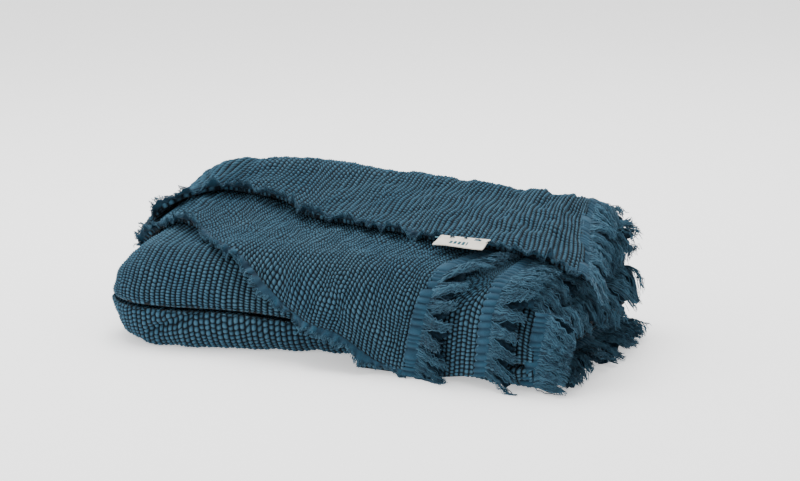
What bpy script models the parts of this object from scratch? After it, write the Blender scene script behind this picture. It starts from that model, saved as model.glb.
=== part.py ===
"""Folded crinkle-weave cotton throw: a lower half of two folded runs, a draped ply over them,
and a top flap that opens like a book about the rounded fold at its left end.

Metres, +Z up.  +X runs along the bundle towards its fringed end, -Y is its front.
The throw is a stack of folded cloth, so each solid is one folded run, one ply or one trim band.
"""

import math

import bmesh
import bpy
from mathutils import Matrix, Vector

# --- overall sizes -------------------------------------------------------------------------
RUN_LENGTH = 0.521          # left fold of the runs to their right ends
RUN_DEPTH = 0.284           # front fold to back fold
LEFT_X = -0.311             # left fold before the bundle is centred on its box
LOWER_LEFT_HEIGHT = 0.047   # lower run at the left
LOWER_RIGHT_HEIGHT = 0.026  # lower run where the upper plies press it flat
STACK_HEIGHT = 0.1180       # top of the middle run halfway back
TOP_SLOPE = 0.11            # rise of the top from front to back
TOP_RIGHT_DROP = 0.005      # how far the stack settles towards the right
LEFT_HUMP = 0.006           # extra height at the back of the left fold
TOP_END_DROOP = 0.012       # extra droop at the fringed end
INNER_LEFT_HEIGHT = 0.019   # inner plies under the top ply, left and right
INNER_RIGHT_HEIGHT = 0.009
END_SKEW = 0.05             # the fringed end runs back and to the right by this slope
INNER_FADE = 0.170          # reach over which the inner plies thin out to the left fold
FRONT_WAIST = 0.044         # hollow of the front face between its two ends

# --- where the heights change, as shares of the runs' length and reaches in metres ---------
WAIST_SHARE = 0.568         # deepest place of the front's hollow
WAIST_SPAN = 0.42
CREASE_START = 0.26         # the lower run thins towards the right from here
CREASE_SPAN = 0.40
SETTLE_START = 0.59         # the top settles towards the right from here
SETTLE_SPAN = 0.38
DROOP_START = 0.87          # the fringed end droops from here
DROOP_REACH = 0.120
HUMP_START = 0.10           # the left hump fades towards the right from here
HUMP_SPAN = 0.40
HUMP_FRONT = -0.060         # and rises towards the back from here
HUMP_REACH = 0.090
INNER_THIN_START = 0.20     # the inner plies thin towards the right from here
INNER_THIN_SPAN = 0.70
INNER_RISE = 0.11           # reach over which they thicken towards the back
FLAP_EDGE_LEFT = 0.012      # front of the inner plies at the left and the right
FLAP_EDGE_RIGHT = -0.076
FLAP_EDGE_START = 0.12
FLAP_EDGE_SPAN = 0.90
DOUBLE_START = 0.40         # the draped ply stands off for the second ply from here
DOUBLE_REACH = 0.08

# --- cloth sizes ---------------------------------------------------------------------------
PLY = 0.010                 # one lofty waffle ply
CLOTH_GAP = 0.0008          # air between plies that rest on each other
SELVEDGE_WIDTH = 0.011
SELVEDGE_THICKNESS = 0.004
HEADER_WIDTH = 0.018
HEADER_THICKNESS = 0.006
FRINGE_LENGTH = 0.036
FRINGE_THICKNESS = 0.006
TRIM_GAP = 0.0009
SELVEDGE_GAP = TRIM_GAP + 0.12 * PLY    # a thick ply needs more room where it bends

# --- folds ---------------------------------------------------------------------------------
LEFT_ROLL = 0.075           # radius of the middle run's left fold, along X
BACK_ROLL = 0.056
FRONT_ROLL = 0.050
DRAPE_ROLL = 0.045          # bend of the draped ply over the front edge
DRAPE_SETBACK = 0.0055      # draped ply's middle surface, behind the runs' front corners
DRAPE_FRONT = 0.5 * RUN_DEPTH - DRAPE_SETBACK
ROLL_EASE = 0.0018          # extra air that each ply keeps where it bends over a fold
EASE_LEAD = 0.020
LOWER_LEFT_ROLL = 0.076
LOWER_SIDE_ROLL = 0.024
CREASE_DEPTH = 0.012
CREASE_DROP = 0.005
RIM = 0.004                 # blunt edge left at the tip of a fold
LEFT_ROLL_BASE = CLOTH_GAP + CREASE_DROP + 0.5 * RIM    # fold tip above the crease
FRONT_CORNER = 0.070        # corner radii in plan at the left fold
BACK_CORNER = 0.045
BACK_WRAP = 0.008           # how far past the back fold line the plies are laid
SIDE_BLEND = 0.8            # crowding of mesh lines towards rounded edges
END_BLEND = 0.6

# --- label ---------------------------------------------------------------------------------
LABEL_WIDTH = 0.056
LABEL_DEPTH = 0.026
LABEL_THICKNESS = 0.0012
LABEL_LEFT = 0.060
LABEL_PITCH = math.radians(11.0)
LABEL_SHARE = 0.785          # where along the flap's selvedge the label is sewn
LABEL_OVERLAP = 0.003       # how far behind the flap's edge its seam lies
LABEL_LIFT = 0.5 * (PLY - SELVEDGE_THICKNESS) + 0.0004    # clears the ply behind its seam
STITCH = 0.0012
STITCH_RUN = 0.007
STITCH_INSET = 0.006
TOUCH = 0.0003

DEEP_TEAL = (0.018, 0.052, 0.082, 1.0)
BAND_TEAL = (0.030, 0.080, 0.120, 1.0)
FRINGE_TEAL = (0.022, 0.062, 0.095, 1.0)
CREAM = (0.62, 0.60, 0.55, 1.0)
THREAD_TEAL = (0.03, 0.20, 0.21, 1.0)


# --- small curves --------------------------------------------------------------------------
def clamp(value, low=0.0, high=1.0):
    return max(low, min(high, value))


def smooth(value):
    value = clamp(value)
    return value * value * (3.0 - 2.0 * value)


def mix(a, b, share):
    return a + (b - a) * share


def quarter_round(distance, radius):
    """Height share of a quarter ellipse, 0 at its tip and 1 from `radius` inwards."""
    reach = 1.0 - clamp(distance / radius)
    return math.sqrt(1.0 - reach * reach)


def through(points, share):
    """A smooth curve (Catmull-Rom) through a few (x, y) points, at `share` 0 to 1."""
    place = clamp(share) * (len(points) - 1)
    step = min(int(place), len(points) - 2)
    t = place - step
    first = Vector(points[max(step - 1, 0)])
    second = Vector(points[step])
    third = Vector(points[step + 1])
    fourth = Vector(points[min(step + 2, len(points) - 1)])
    return 0.5 * (2.0 * second + (third - first) * t
                  + (2.0 * first - 5.0 * second + 4.0 * third - fourth) * t ** 2
                  + (3.0 * second - first - 3.0 * third + fourth) * t ** 3)


# --- the bundle's outline and heights ------------------------------------------------------
def along(share):
    """X at a share of the runs' length, 0 at the left fold."""
    return LEFT_X + RUN_LENGTH * share


FRONT_Y = -RUN_DEPTH / 2.0
BACK_Y = RUN_DEPTH / 2.0
RIGHT_X = along(1.0)
ROLL_X = LEFT_X + LEFT_ROLL
ROLL_Y = BACK_Y - BACK_ROLL
WAIST_X = along(WAIST_SHARE)
WAIST_REACH = WAIST_SPAN * RUN_LENGTH


def waist(x):
    """Hollow of the front face, 0 at the ends and 1 at its deepest."""
    return 0.5 + 0.5 * math.cos(math.pi * clamp((x - WAIST_X) / WAIST_REACH, -1.0, 1.0))


def front_line(x, corner=FRONT_CORNER):
    reach = clamp(corner - (x - LEFT_X), 0.0, corner)
    return FRONT_Y + FRONT_WAIST * waist(x) + corner - math.sqrt(corner ** 2 - reach ** 2)


def back_line(x, corner=BACK_CORNER):
    reach = clamp(corner - (x - LEFT_X), 0.0, corner)
    return BACK_Y - corner + math.sqrt(corner ** 2 - reach ** 2)


def ramp(x, start, span):
    """0 before a start along the runs, 1 from a span of their length after it."""
    return smooth((x - along(start)) / (span * RUN_LENGTH))


def crease_height(x):
    share = ramp(x, CREASE_START, CREASE_SPAN)
    return mix(LOWER_LEFT_HEIGHT, LOWER_RIGHT_HEIGHT, share)


def stack_top(x, y):
    """Top of the middle run away from its folds."""
    droop = TOP_RIGHT_DROP * ramp(x, SETTLE_START, SETTLE_SPAN)
    droop += TOP_END_DROOP * smooth((x - along(DROOP_START)) / DROOP_REACH)
    hump = LEFT_HUMP * (1.0 - ramp(x, HUMP_START, HUMP_SPAN))
    return STACK_HEIGHT + TOP_SLOPE * y + hump * smooth((y - HUMP_FRONT) / HUMP_REACH) - droop


def inner_height(x, y):
    """Thickness of the plies folded inside the top flap, 0 at the flap's front edge."""
    thinned = ramp(x, INNER_THIN_START, INNER_THIN_SPAN)
    full = mix(INNER_LEFT_HEIGHT, INNER_RIGHT_HEIGHT, thinned)
    return full * smooth((y - flap_edge(x)) / INNER_RISE) * smooth((x - LEFT_X) / INNER_FADE)


def flap_edge(x):
    """Y where the inner plies begin, which runs forward as it goes right."""
    return mix(FLAP_EDGE_LEFT, FLAP_EDGE_RIGHT, ramp(x, FLAP_EDGE_START, FLAP_EDGE_SPAN))


# --- cloth wrapped over the bundle ---------------------------------------------------------
def second_front(x):
    """Y of the middle of the ply that hangs just in front of the runs."""
    skewed_x = x - END_SKEW * FRONT_Y * (x - LEFT_X) / RUN_LENGTH
    run_front = FRONT_Y + FRONT_WAIST * waist(skewed_x)
    return min(PLY + CLOTH_GAP - DRAPE_FRONT, run_front - CLOTH_GAP - 0.5 * PLY)


def drape_front(x):
    """Y of the middle of the draped ply where it hangs, in front of the second ply."""
    return second_front(x) - (PLY + CLOTH_GAP) * smooth((x - along(DOUBLE_START)) / DOUBLE_REACH)


def ease_share(past):
    """Share of the extra air at a distance past the start of a fold."""
    return smooth((past + EASE_LEAD) / (2.0 * EASE_LEAD))


def wrapped(across, back, lift):
    """Point on cloth laid over the runs.

    `across` and `back` are distances over the cloth, equal to X and Y on the flat top.
    Past the left fold, the back fold and the front edge the cloth bends down.
    `lift` is the height over the top of the middle run.
    """
    ease = ROLL_EASE * (lift + 0.5 * PLY) / PLY
    x, left = across, 1.0
    if across < ROLL_X:
        angle = min((ROLL_X - across) / (0.5 * (LEFT_ROLL + STACK_HEIGHT / 2.0)), math.pi / 2.0)
        x = ROLL_X - (LEFT_ROLL + lift + ease) * math.sin(angle)
        left = math.cos(angle)
    lift += ease * ease_share(ROLL_X - across)
    y, rear = back, 1.0
    if back > ROLL_Y:
        angle = min((back - ROLL_Y) / (BACK_ROLL + lift), math.pi / 2.0)
        y = ROLL_Y + (BACK_ROLL + lift + ease) * math.sin(angle)
        rear = math.cos(angle)
    lift += ease * ease_share(back - ROLL_Y)
    drop = 0.0
    start = drape_front(x) + DRAPE_ROLL
    if back < start:
        angle = (start - back) / DRAPE_ROLL
        bend = min(angle, math.pi / 2.0)
        y = start - DRAPE_ROLL * math.sin(bend)
        drop = DRAPE_ROLL * (1.0 - math.cos(bend) + angle - bend)
    base = crease_height(x) + LEFT_ROLL_BASE
    top = base + (stack_top(x, y) + lift - base) * left * rear
    return Vector((x, y, top - drop))


# --- cloth outlines, laid flat: (across, back) as in wrapped() -------------------------------
CLOTH_BACK = BACK_Y + BACK_WRAP
DRAPE_SELVEDGE = [(-0.318, -0.017), (-0.280, -0.029), (-0.248, -0.040), (-0.215, -0.064),
                  (-0.182, -0.098), (-0.150, -0.112), (-0.108, -0.143), (-0.059, -0.180),
                  (-0.017, -0.194), (0.022, -0.216), (0.042, -0.2185)]
DRAPE_END = [(0.042, -0.2185), (0.055, -0.190), (0.069, -0.150), (0.085, -0.105),
             (0.110, -0.055), (0.146, 0.010), (0.176, 0.070), (0.192, CLOTH_BACK)]
FLAP_SELVEDGE = [(-0.316, 0.018), (-0.283, -0.004), (-0.256, 0.010), (-0.230, 0.034),
                 (-0.190, 0.030), (-0.150, 0.018), (-0.110, -0.008), (-0.052, -0.023),
                 (0.001, -0.034), (0.059, -0.048), (0.130, -0.056), (0.195, -0.066),
                 (0.222, -0.078)]
FLAP_END = [(0.222, -0.078), (0.206, -0.040), (0.190, 0.010), (0.176, 0.070),
            (0.168, CLOTH_BACK)]


class Ply:
    """A ply cut by a selvedge in front and a fringed end on the right, laid over the runs."""

    def __init__(self, selvedge, end, lift, inner=False):
        self.selvedge = selvedge
        self.end = end
        self.lift = lift
        self.inner = inner

    def flat(self, u, v):
        """Flat cloth point at share u along the selvedge and share v towards the back."""
        near_left, corner = Vector(self.selvedge[0]), Vector(self.end[0])
        far = Vector(self.end[-1])
        far_left = Vector((near_left.x, far.y))
        front = through(self.selvedge, u)
        end = through(self.end, v)
        side = near_left.lerp(far_left, v)
        rear = far_left.lerp(far, u)
        bilinear = (near_left.lerp(corner, u)) * (1.0 - v) + (far_left.lerp(far, u)) * v
        return front * (1.0 - v) + rear * v + side * (1.0 - u) + end * u - bilinear

    def inset(self, u, distance):
        """Share v that lies `distance` in from the selvedge."""
        return distance / (self.flat(u, 1.0) - self.flat(u, 0.0)).length

    def beyond_end(self, v, distance):
        """Flat cloth point `distance` past the end of the weave."""
        end = self.flat(1.0, v)
        return end + (end - self.flat(0.99, v)).normalized() * distance

    def placed(self, spot):
        lift = self.lift
        if self.inner:
            lift += inner_height(spot.x, spot.y)
        return wrapped(spot.x, spot.y, lift)

    def weave(self, u, v):
        start = self.inset(u, SELVEDGE_WIDTH + SELVEDGE_GAP)
        return self.placed(self.flat(u, mix(start, 1.0, v)))

    def edge(self, u, v):
        return self.placed(self.flat(u, v * self.inset(u, SELVEDGE_WIDTH)))

    def header(self, u, v):
        return self.placed(self.beyond_end(v, mix(TRIM_GAP, HEADER_WIDTH, u)))

    def fringe(self, u, v):
        start = HEADER_WIDTH + TRIM_GAP
        return self.placed(self.beyond_end(v, mix(start, HEADER_WIDTH + FRINGE_LENGTH, u)))


# --- mesh builders -------------------------------------------------------------------------
def material(name, colour, roughness):
    made = bpy.data.materials.new(name)
    made.use_nodes = True
    shader = made.node_tree.nodes["Principled BSDF"]
    shader.inputs["Base Color"].default_value = colour
    shader.inputs["Roughness"].default_value = roughness
    shader.inputs["Metallic"].default_value = 0.0
    made.diffuse_color = colour
    return made


def finish_object(name, bm, finish, parent):
    """Turn a bmesh into a named object under its parent empty."""
    bmesh.ops.recalc_face_normals(bm, faces=bm.faces[:])
    mesh = bpy.data.meshes.new(name)
    bm.to_mesh(mesh)
    bm.free()
    mesh.shade_smooth()
    mesh.set_sharp_from_angle(angle=math.radians(40.0))
    mesh.materials.append(material(name + "_cloth", *finish))
    made = bpy.data.objects.new(name, mesh)
    bpy.context.scene.collection.objects.link(made)
    made.parent = parent
    made.matrix_parent_inverse = Matrix.Translation(-parent.location)
    return made


def block(name, plan, bottom, top, divisions, finish, parent):
    """Solid between two height functions over a plan(u, v) -> (x, y)."""
    bm = bmesh.new()
    bmesh.ops.create_grid(bm, x_segments=divisions[0], y_segments=divisions[1], size=1.0)
    made = bmesh.ops.extrude_face_region(bm, geom=bm.faces[:])
    raised = {g for g in made["geom"] if isinstance(g, bmesh.types.BMVert)}
    for v in bm.verts:
        u, w = (v.co.x + 1.0) / 2.0, (v.co.y + 1.0) / 2.0
        x, y, inset = plan(u, w)
        height = top(x, y, inset) if v in raised else bottom(x, y, inset)
        v.co = Vector((x, y, height))
    return finish_object(name, bm, finish, parent)


def upward_normal(surface, u, v):
    """Unit normal of surface(u, v), on the side that faces up or, on a hanging ply, forward."""
    step = 0.002
    along_u = surface(u + step, v) - surface(u - step, v)
    along_v = surface(u, v + step) - surface(u, v - step)
    return along_u.cross(along_v).normalized()


def sheet(name, surface, divisions, thickness, finish, parent):
    """Thin solid of even thickness about surface(u, v) -> point."""
    bm = bmesh.new()
    bmesh.ops.create_grid(bm, x_segments=divisions[0], y_segments=divisions[1], size=1.0)
    made = bmesh.ops.extrude_face_region(bm, geom=bm.faces[:])
    raised = {g for g in made["geom"] if isinstance(g, bmesh.types.BMVert)}
    for v in bm.verts:
        u, w = (v.co.x + 1.0) / 2.0, (v.co.y + 1.0) / 2.0
        side = 0.5 if v in raised else -0.5
        v.co = surface(u, w) + upward_normal(surface, u, w) * thickness * side
    return finish_object(name, bm, finish, parent)


# --- folded runs ---------------------------------------------------------------------------
def spread(share, both_ends=True):
    """Grid spacing that is finer near rounded edges."""
    if both_ends:
        return mix(share, 0.5 - 0.5 * math.cos(math.pi * share), SIDE_BLEND)
    return mix(share, 1.0 - math.cos(0.5 * math.pi * share), END_BLEND)


def run_plan(u, w):
    """Plan point of a folded run, with its distances from the left, front and back folds."""
    share = spread(u, both_ends=False)
    x = LEFT_X + RUN_LENGTH * share
    near, far = front_line(x), back_line(x)
    y = mix(near, far, spread(w))
    return x + END_SKEW * y * share, y, (x - LEFT_X, y - near, far - y)


def fold_share(inset, left, front, back):
    return (quarter_round(inset[0], left) * quarter_round(inset[1], front)
            * quarter_round(inset[2], back))


def lip(inset):
    return CREASE_DROP * (1.0 - fold_share(inset, CREASE_DEPTH, CREASE_DEPTH, CREASE_DEPTH))


def lower_bottom(x, y, inset):
    rim = crease_height(x) - CREASE_DROP - RIM
    return rim * (1.0 - fold_share(inset, LOWER_LEFT_ROLL, LOWER_SIDE_ROLL, LOWER_SIDE_ROLL))


def lower_top(x, y, inset):
    return crease_height(x) - lip(inset)


def middle_bottom(x, y, inset):
    return crease_height(x) + CLOTH_GAP + lip(inset)


def middle_top(x, y, inset):
    rim = crease_height(x) + LEFT_ROLL_BASE
    share = fold_share(inset, LEFT_ROLL, FRONT_ROLL, BACK_ROLL)
    return rim + (stack_top(x, y) - rim) * share


# --- sub-assemblies ------------------------------------------------------------------------
WEAVE = (DEEP_TEAL, 0.95)
BAND = (BAND_TEAL, 0.85)
THREADS = (FRINGE_TEAL, 0.90)
TAPE = (CREAM, 0.80)
STITCHING = (THREAD_TEAL, 0.70)

DRAPED = Ply(DRAPE_SELVEDGE, DRAPE_END, CLOTH_GAP + PLY / 2.0)
FLAP = Ply(FLAP_SELVEDGE, FLAP_END, 2.0 * CLOTH_GAP + 1.5 * PLY, inner=True)


def build_runs(pack):
    block("lower_run", run_plan, lower_bottom, lower_top, (24, 16), WEAVE, pack)
    block("middle_run", run_plan, middle_bottom, middle_top, (24, 16), WEAVE, pack)


def build_ply(ply, stem, weave_name, divisions, parent):
    """The woven ply with its selvedge, smooth end band and fringe."""
    columns, rows = divisions
    sheet(weave_name, ply.weave, divisions, PLY, WEAVE, parent)
    sheet(stem + "_selvedge", ply.edge, (columns, 1), SELVEDGE_THICKNESS, BAND, parent)
    sheet(stem + "_header", ply.header, (1, rows), HEADER_THICKNESS, BAND, parent)
    sheet(stem + "_fringe", ply.fringe, (2, rows), FRINGE_THICKNESS, THREADS, parent)


# --- second ply, hung inside the draped ply on the front face ------------------------------
SECOND_LEFT = along(0.60)
SECOND_RIGHT = along(0.876)
SECOND_DROP = 0.013         # its top, below the bend of the draped ply
SECOND_TOP = STACK_HEIGHT - DRAPE_ROLL - SECOND_DROP
SECOND_BOTTOM = 0.012


def second_point(x, v):
    return Vector((x, second_front(x), mix(SECOND_BOTTOM, SECOND_TOP, v)))


def band(point, start, width):
    """Surface over a strip `width` wide that starts at x = start and follows point(x, v)."""
    return lambda u, v: point(start + width * u, v)


def build_second_ply(pack):
    weave = band(second_point, SECOND_LEFT, SECOND_RIGHT - SECOND_LEFT)
    header = band(second_point, SECOND_RIGHT + TRIM_GAP, HEADER_WIDTH)
    fringe = band(second_point, SECOND_RIGHT + HEADER_WIDTH + 2.0 * TRIM_GAP, FRINGE_LENGTH)
    sheet("second_ply", weave, (8, 3), PLY, WEAVE, pack)
    sheet("second_header", header, (1, 3), HEADER_THICKNESS, BAND, pack)
    sheet("second_fringe", fringe, (2, 3), FRINGE_THICKNESS, THREADS, pack)


# --- fringed ends of the runs --------------------------------------------------------------
END_FRINGE = 0.028          # fringe of the run ends, foreshortened by its curl
WRAP_INSET = 0.0055         # front curtain's middle behind the front face
WRAP_BOTTOM = 0.010
END_FRONT = FRONT_Y + 0.024    # the runs' fringed ends along Y
END_BACK = BACK_Y - 0.030
LOWER_DROOP = 0.10
END_DROOP = 0.55            # slope of a drooping end


def wrap_point(x, v):
    top = stack_top(RIGHT_X, FRONT_Y) - WRAP_INSET
    return Vector((x + END_SKEW * FRONT_Y, FRONT_Y + WRAP_INSET, mix(WRAP_BOTTOM, top, v)))


def drooping(height, droop):
    """Point on a fringed end that leaves the run at `height` and droops with distance."""
    def point(x, v):
        out, y = x - RIGHT_X, mix(END_FRONT, END_BACK, v)
        fall = droop * out * out / (HEADER_WIDTH + FRINGE_LENGTH) + 0.15 * out
        return Vector((x + END_SKEW * y, y, height - fall))
    return point


def build_run_ends(pack):
    fringe_start = RIGHT_X + HEADER_WIDTH + 2.0 * TRIM_GAP
    ends = (("wrap", wrap_point), ("lower", drooping(0.7 * LOWER_RIGHT_HEIGHT, LOWER_DROOP)),
            ("middle", drooping(0.55 * (LOWER_RIGHT_HEIGHT + STACK_HEIGHT), END_DROOP)))
    for stem, point in ends:
        header = band(point, RIGHT_X + TRIM_GAP, HEADER_WIDTH)
        sheet(stem + "_header", header, (1, 6), HEADER_THICKNESS, BAND, pack)
        sheet(stem + "_fringe", band(point, fringe_start, END_FRINGE), (2, 6),
              FRINGE_THICKNESS, THREADS, pack)


# --- inner plies of the flap ---------------------------------------------------------------
INNER_LEFT = along(0.16)
INNER_RIGHT = along(0.90)
INNER_START = 0.052         # behind the line where their thickness begins
INNER_BACK = BACK_Y - 0.030
INNER_TRIM = 0.0022


def inner_plan(u, w):
    x = mix(INNER_LEFT, INNER_RIGHT, u)
    y = mix(flap_edge(x) + INNER_START, INNER_BACK, w)
    return x, y, (x, y)


def inner_bottom(x, y, inset):
    return wrapped(x, y, PLY + 2.0 * CLOTH_GAP).z


def inner_top(x, y, inset):
    return wrapped(x, y, PLY + 0.5 * CLOTH_GAP + inner_height(x, y)).z


def inner_end_point(x, v):
    y = mix(flap_edge(INNER_RIGHT) + INNER_START, INNER_BACK, v)
    return wrapped(x, y, PLY + 1.5 * CLOTH_GAP + 0.5 * inner_height(x, y))


def build_inner_plies(flap):
    block("inner_plies", inner_plan, inner_bottom, inner_top, (14, 8), WEAVE, flap)
    header = band(inner_end_point, INNER_RIGHT + TRIM_GAP, HEADER_WIDTH)
    fringe = band(inner_end_point, INNER_RIGHT + HEADER_WIDTH + 2.0 * TRIM_GAP, FRINGE_LENGTH)
    sheet("inner_header", header, (1, 5), INNER_TRIM, BAND, flap)
    sheet("inner_fringe", fringe, (3, 5), INNER_TRIM, THREADS, flap)


# --- left fold between draped ply and flap --------------------------------------------------
SPINE_FRONT = 0.010         # clear of both selvedges
SPINE_THICKNESS = 0.006
SPINE_REACH = 0.0012


def spine_point(u, v):
    """Half circle under the left ends of the draped ply and the top ply, which it joins."""
    back = mix(FLAP_SELVEDGE[0][1] + SPINE_FRONT, CLOTH_BACK, v)
    inner = DRAPED.placed(Vector((DRAPE_SELVEDGE[0][0] - SPINE_REACH, back)))
    outer = FLAP.placed(Vector((FLAP_SELVEDGE[0][0] - SPINE_REACH, back)))
    centre = 0.5 * (inner + outer)
    half = 0.5 * (outer - inner)
    down = Vector((half.z, 0.0, -half.x)).normalized() * half.length
    if down.z > 0.0:
        down.negate()
    return centre - half * math.cos(math.pi * u) + down * math.sin(math.pi * u)


# --- label ---------------------------------------------------------------------------------
def label_hinge():
    """Middle of the label's sewn edge, just above the top ply's selvedge."""
    x = LABEL_LEFT + 0.5 * LABEL_WIDTH
    y = through(FLAP_SELVEDGE, LABEL_SHARE).y + LABEL_OVERLAP
    top = wrapped(x, y, FLAP.lift + 0.5 * SELVEDGE_THICKNESS + inner_height(x, y)).z
    return Vector((x, y, top + LABEL_LIFT))


def plate(name, size, centre, finish, parent, place):
    """Box of the given size, centred at `centre` in its parent's axes."""
    bm = bmesh.new()
    bmesh.ops.create_cube(bm, size=1.0)
    bmesh.ops.scale(bm, vec=Vector(size), verts=bm.verts[:])
    bmesh.ops.translate(bm, vec=Vector(centre), verts=bm.verts[:])
    bmesh.ops.transform(bm, matrix=place, verts=bm.verts[:])
    return finish_object(name, bm, finish, parent)


def build_label(label):
    place = Matrix.Translation(label.location) @ Matrix.Rotation(LABEL_PITCH, 4, "X")
    plate("label", (LABEL_WIDTH, LABEL_DEPTH, LABEL_THICKNESS),
          (0.0, -0.5 * LABEL_DEPTH, 0.0), TAPE, label, place)
    reach = 0.5 * LABEL_WIDTH - STITCH_INSET
    height = 0.5 * (LABEL_THICKNESS + STITCH) + TOUCH
    for name, side in (("label_stitch_left", -1.0), ("label_stitch_right", 1.0)):
        plate(name, (STITCH_RUN, STITCH, STITCH), (side * reach, -STITCH_INSET, height),
              STITCHING, label, place)


# --- bodies --------------------------------------------------------------------------------
def build_pack(pack):
    build_runs(pack)
    build_second_ply(pack)
    build_run_ends(pack)
    build_ply(DRAPED, "draped", "draped_ply", (32, 27), pack)
    sheet("spine_fold", spine_point, (6, 8), SPINE_THICKNESS, WEAVE, pack)


def build_flap(flap):
    build_ply(FLAP, "top", "top_ply", (26, 14), flap)
    build_inner_plies(flap)


def clear_scene():
    for thing in list(bpy.data.objects):
        bpy.data.objects.remove(thing, do_unlink=True)


def body_empty(name, place):
    made = bpy.data.objects.new(name, None)
    made.location = place
    bpy.context.scene.collection.objects.link(made)
    return made


def centre_on_floor(roots):
    """Move the bodies so the bundle's box is centred on the origin and rests on the floor."""
    bpy.context.view_layer.update()
    corners = [thing.matrix_world @ v.co for thing in bpy.data.objects
               if thing.type == "MESH" for v in thing.data.vertices]
    low = Vector([min(c[axis] for c in corners) for axis in range(3)])
    high = Vector([max(c[axis] for c in corners) for axis in range(3)])
    shift = Vector((-0.5 * (low.x + high.x), -0.5 * (low.y + high.y), -low.z))
    for root in roots:
        root.location += shift


def build_throw():
    clear_scene()
    spine = spine_point(0.5, 0.0)
    bodies = {"pack_body": Vector((0.0, 0.0, 0.0)),
              "flap_body": Vector((spine.x, 0.0, spine.z)), "label_body": label_hinge()}
    pack, flap, label = [body_empty(name, place) for name, place in bodies.items()]
    build_pack(pack)
    build_flap(flap)
    build_label(label)
    centre_on_floor((pack, flap, label))


build_throw()
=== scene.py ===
"""Looks of a folded crinkle-weave cotton throw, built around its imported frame.

The throw lies folded: two folded runs below, a ply draped over their front, and a top flap that
opens about the rounded fold at the left.  Every cloth piece is a sheet laid by the same rules:
a flat cloth plane (along the selvedge, in from the selvedge) that is wrapped over the bundle.
"""
import logging
import math
from dataclasses import dataclass, field
from enum import Enum
from typing import Callable, Iterable, Optional

import bmesh
import bpy
import numpy as np
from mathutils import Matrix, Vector

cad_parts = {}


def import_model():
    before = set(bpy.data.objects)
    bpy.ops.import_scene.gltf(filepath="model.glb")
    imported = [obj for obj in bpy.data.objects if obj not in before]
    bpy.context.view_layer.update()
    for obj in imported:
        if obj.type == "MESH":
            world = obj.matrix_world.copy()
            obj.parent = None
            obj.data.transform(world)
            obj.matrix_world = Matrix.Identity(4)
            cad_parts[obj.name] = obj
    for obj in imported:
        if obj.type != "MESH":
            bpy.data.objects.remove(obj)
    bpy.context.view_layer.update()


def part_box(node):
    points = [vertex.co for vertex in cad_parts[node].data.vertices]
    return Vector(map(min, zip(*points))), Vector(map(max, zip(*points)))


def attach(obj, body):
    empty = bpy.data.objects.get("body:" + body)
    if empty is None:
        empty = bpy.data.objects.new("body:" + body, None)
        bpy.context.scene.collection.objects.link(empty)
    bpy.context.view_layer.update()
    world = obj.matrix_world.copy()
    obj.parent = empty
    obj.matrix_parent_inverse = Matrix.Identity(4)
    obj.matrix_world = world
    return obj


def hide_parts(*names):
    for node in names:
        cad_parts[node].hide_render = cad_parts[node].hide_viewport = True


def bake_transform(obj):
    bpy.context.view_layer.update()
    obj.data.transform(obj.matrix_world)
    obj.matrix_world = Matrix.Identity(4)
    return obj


LOG = logging.getLogger("throw")
Array = np.ndarray
FLOOR_REST = 6e-4           # lowest place of cloth that lies on the floor, in metres
SLAB_TOP = 0.0016           # upper face of a ply's body, off its middle
SLAB_BOTTOM = -0.0032       # lower face of a ply's body
BEAD_BASE = 0.0014          # where the beads stand, just inside the body's upper face
RIM_DIP = -0.0006           # how far the beads' rim dips into the body


# --- number helpers ------------------------------------------------------------------------
def smooth(value: Array) -> Array:
    """Soft step from 0 to 1 over the same span."""
    value = np.clip(value, 0.0, 1.0)
    return value * value * (3.0 - 2.0 * value)


def mix(low: Array, high: Array, share: Array) -> Array:
    """Value at `share` of the way from `low` to `high`."""
    return low + (high - low) * share


def quarter_round(distance: Array, radius: float) -> Array:
    """Height share of a quarter ellipse, 0 at its tip and 1 from `radius` inwards."""
    reach = 1.0 - np.clip(distance / radius, 0.0, 1.0)
    return np.sqrt(np.clip(1.0 - reach * reach, 0.0, 1.0))


def stack3(x: Array, y: Array, z: Array) -> Array:
    """Points from three coordinate arrays of one shape."""
    return np.stack(np.broadcast_arrays(x, y, z), axis=-1).astype(float)


class Ripples:
    """Smooth repeatable noise about 0: a sum of plane waves with seeded phases."""

    def __init__(self, seed: int, size: float, waves: int = 7) -> None:
        """Args: seed: which pattern; size: typical width of a bump in metres; waves: how many."""
        rng = np.random.default_rng(seed)
        turn = rng.uniform(0.0, 2.0 * math.pi, waves)
        rate = 2.0 * math.pi / (size * rng.uniform(0.7, 2.2, waves))
        self.kx, self.ky = rate * np.cos(turn), rate * np.sin(turn)
        self.phase = rng.uniform(0.0, 2.0 * math.pi, waves)
        self.gain = 1.0 / math.sqrt(waves)

    def __call__(self, x: Array, y: Array) -> Array:
        """Noise value at each (x, y), mostly between -1 and 1.

        Args: x: distance along the bundle; y: distance back.
        Returns: a value for each point.
        """
        x, y = np.broadcast_arrays(np.asarray(x, float), np.asarray(y, float))
        total = np.zeros(x.shape)
        for kx, ky, phase in zip(self.kx, self.ky, self.phase):
            total += np.sin(kx * x + ky * y + phase)
        return total * self.gain


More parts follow.
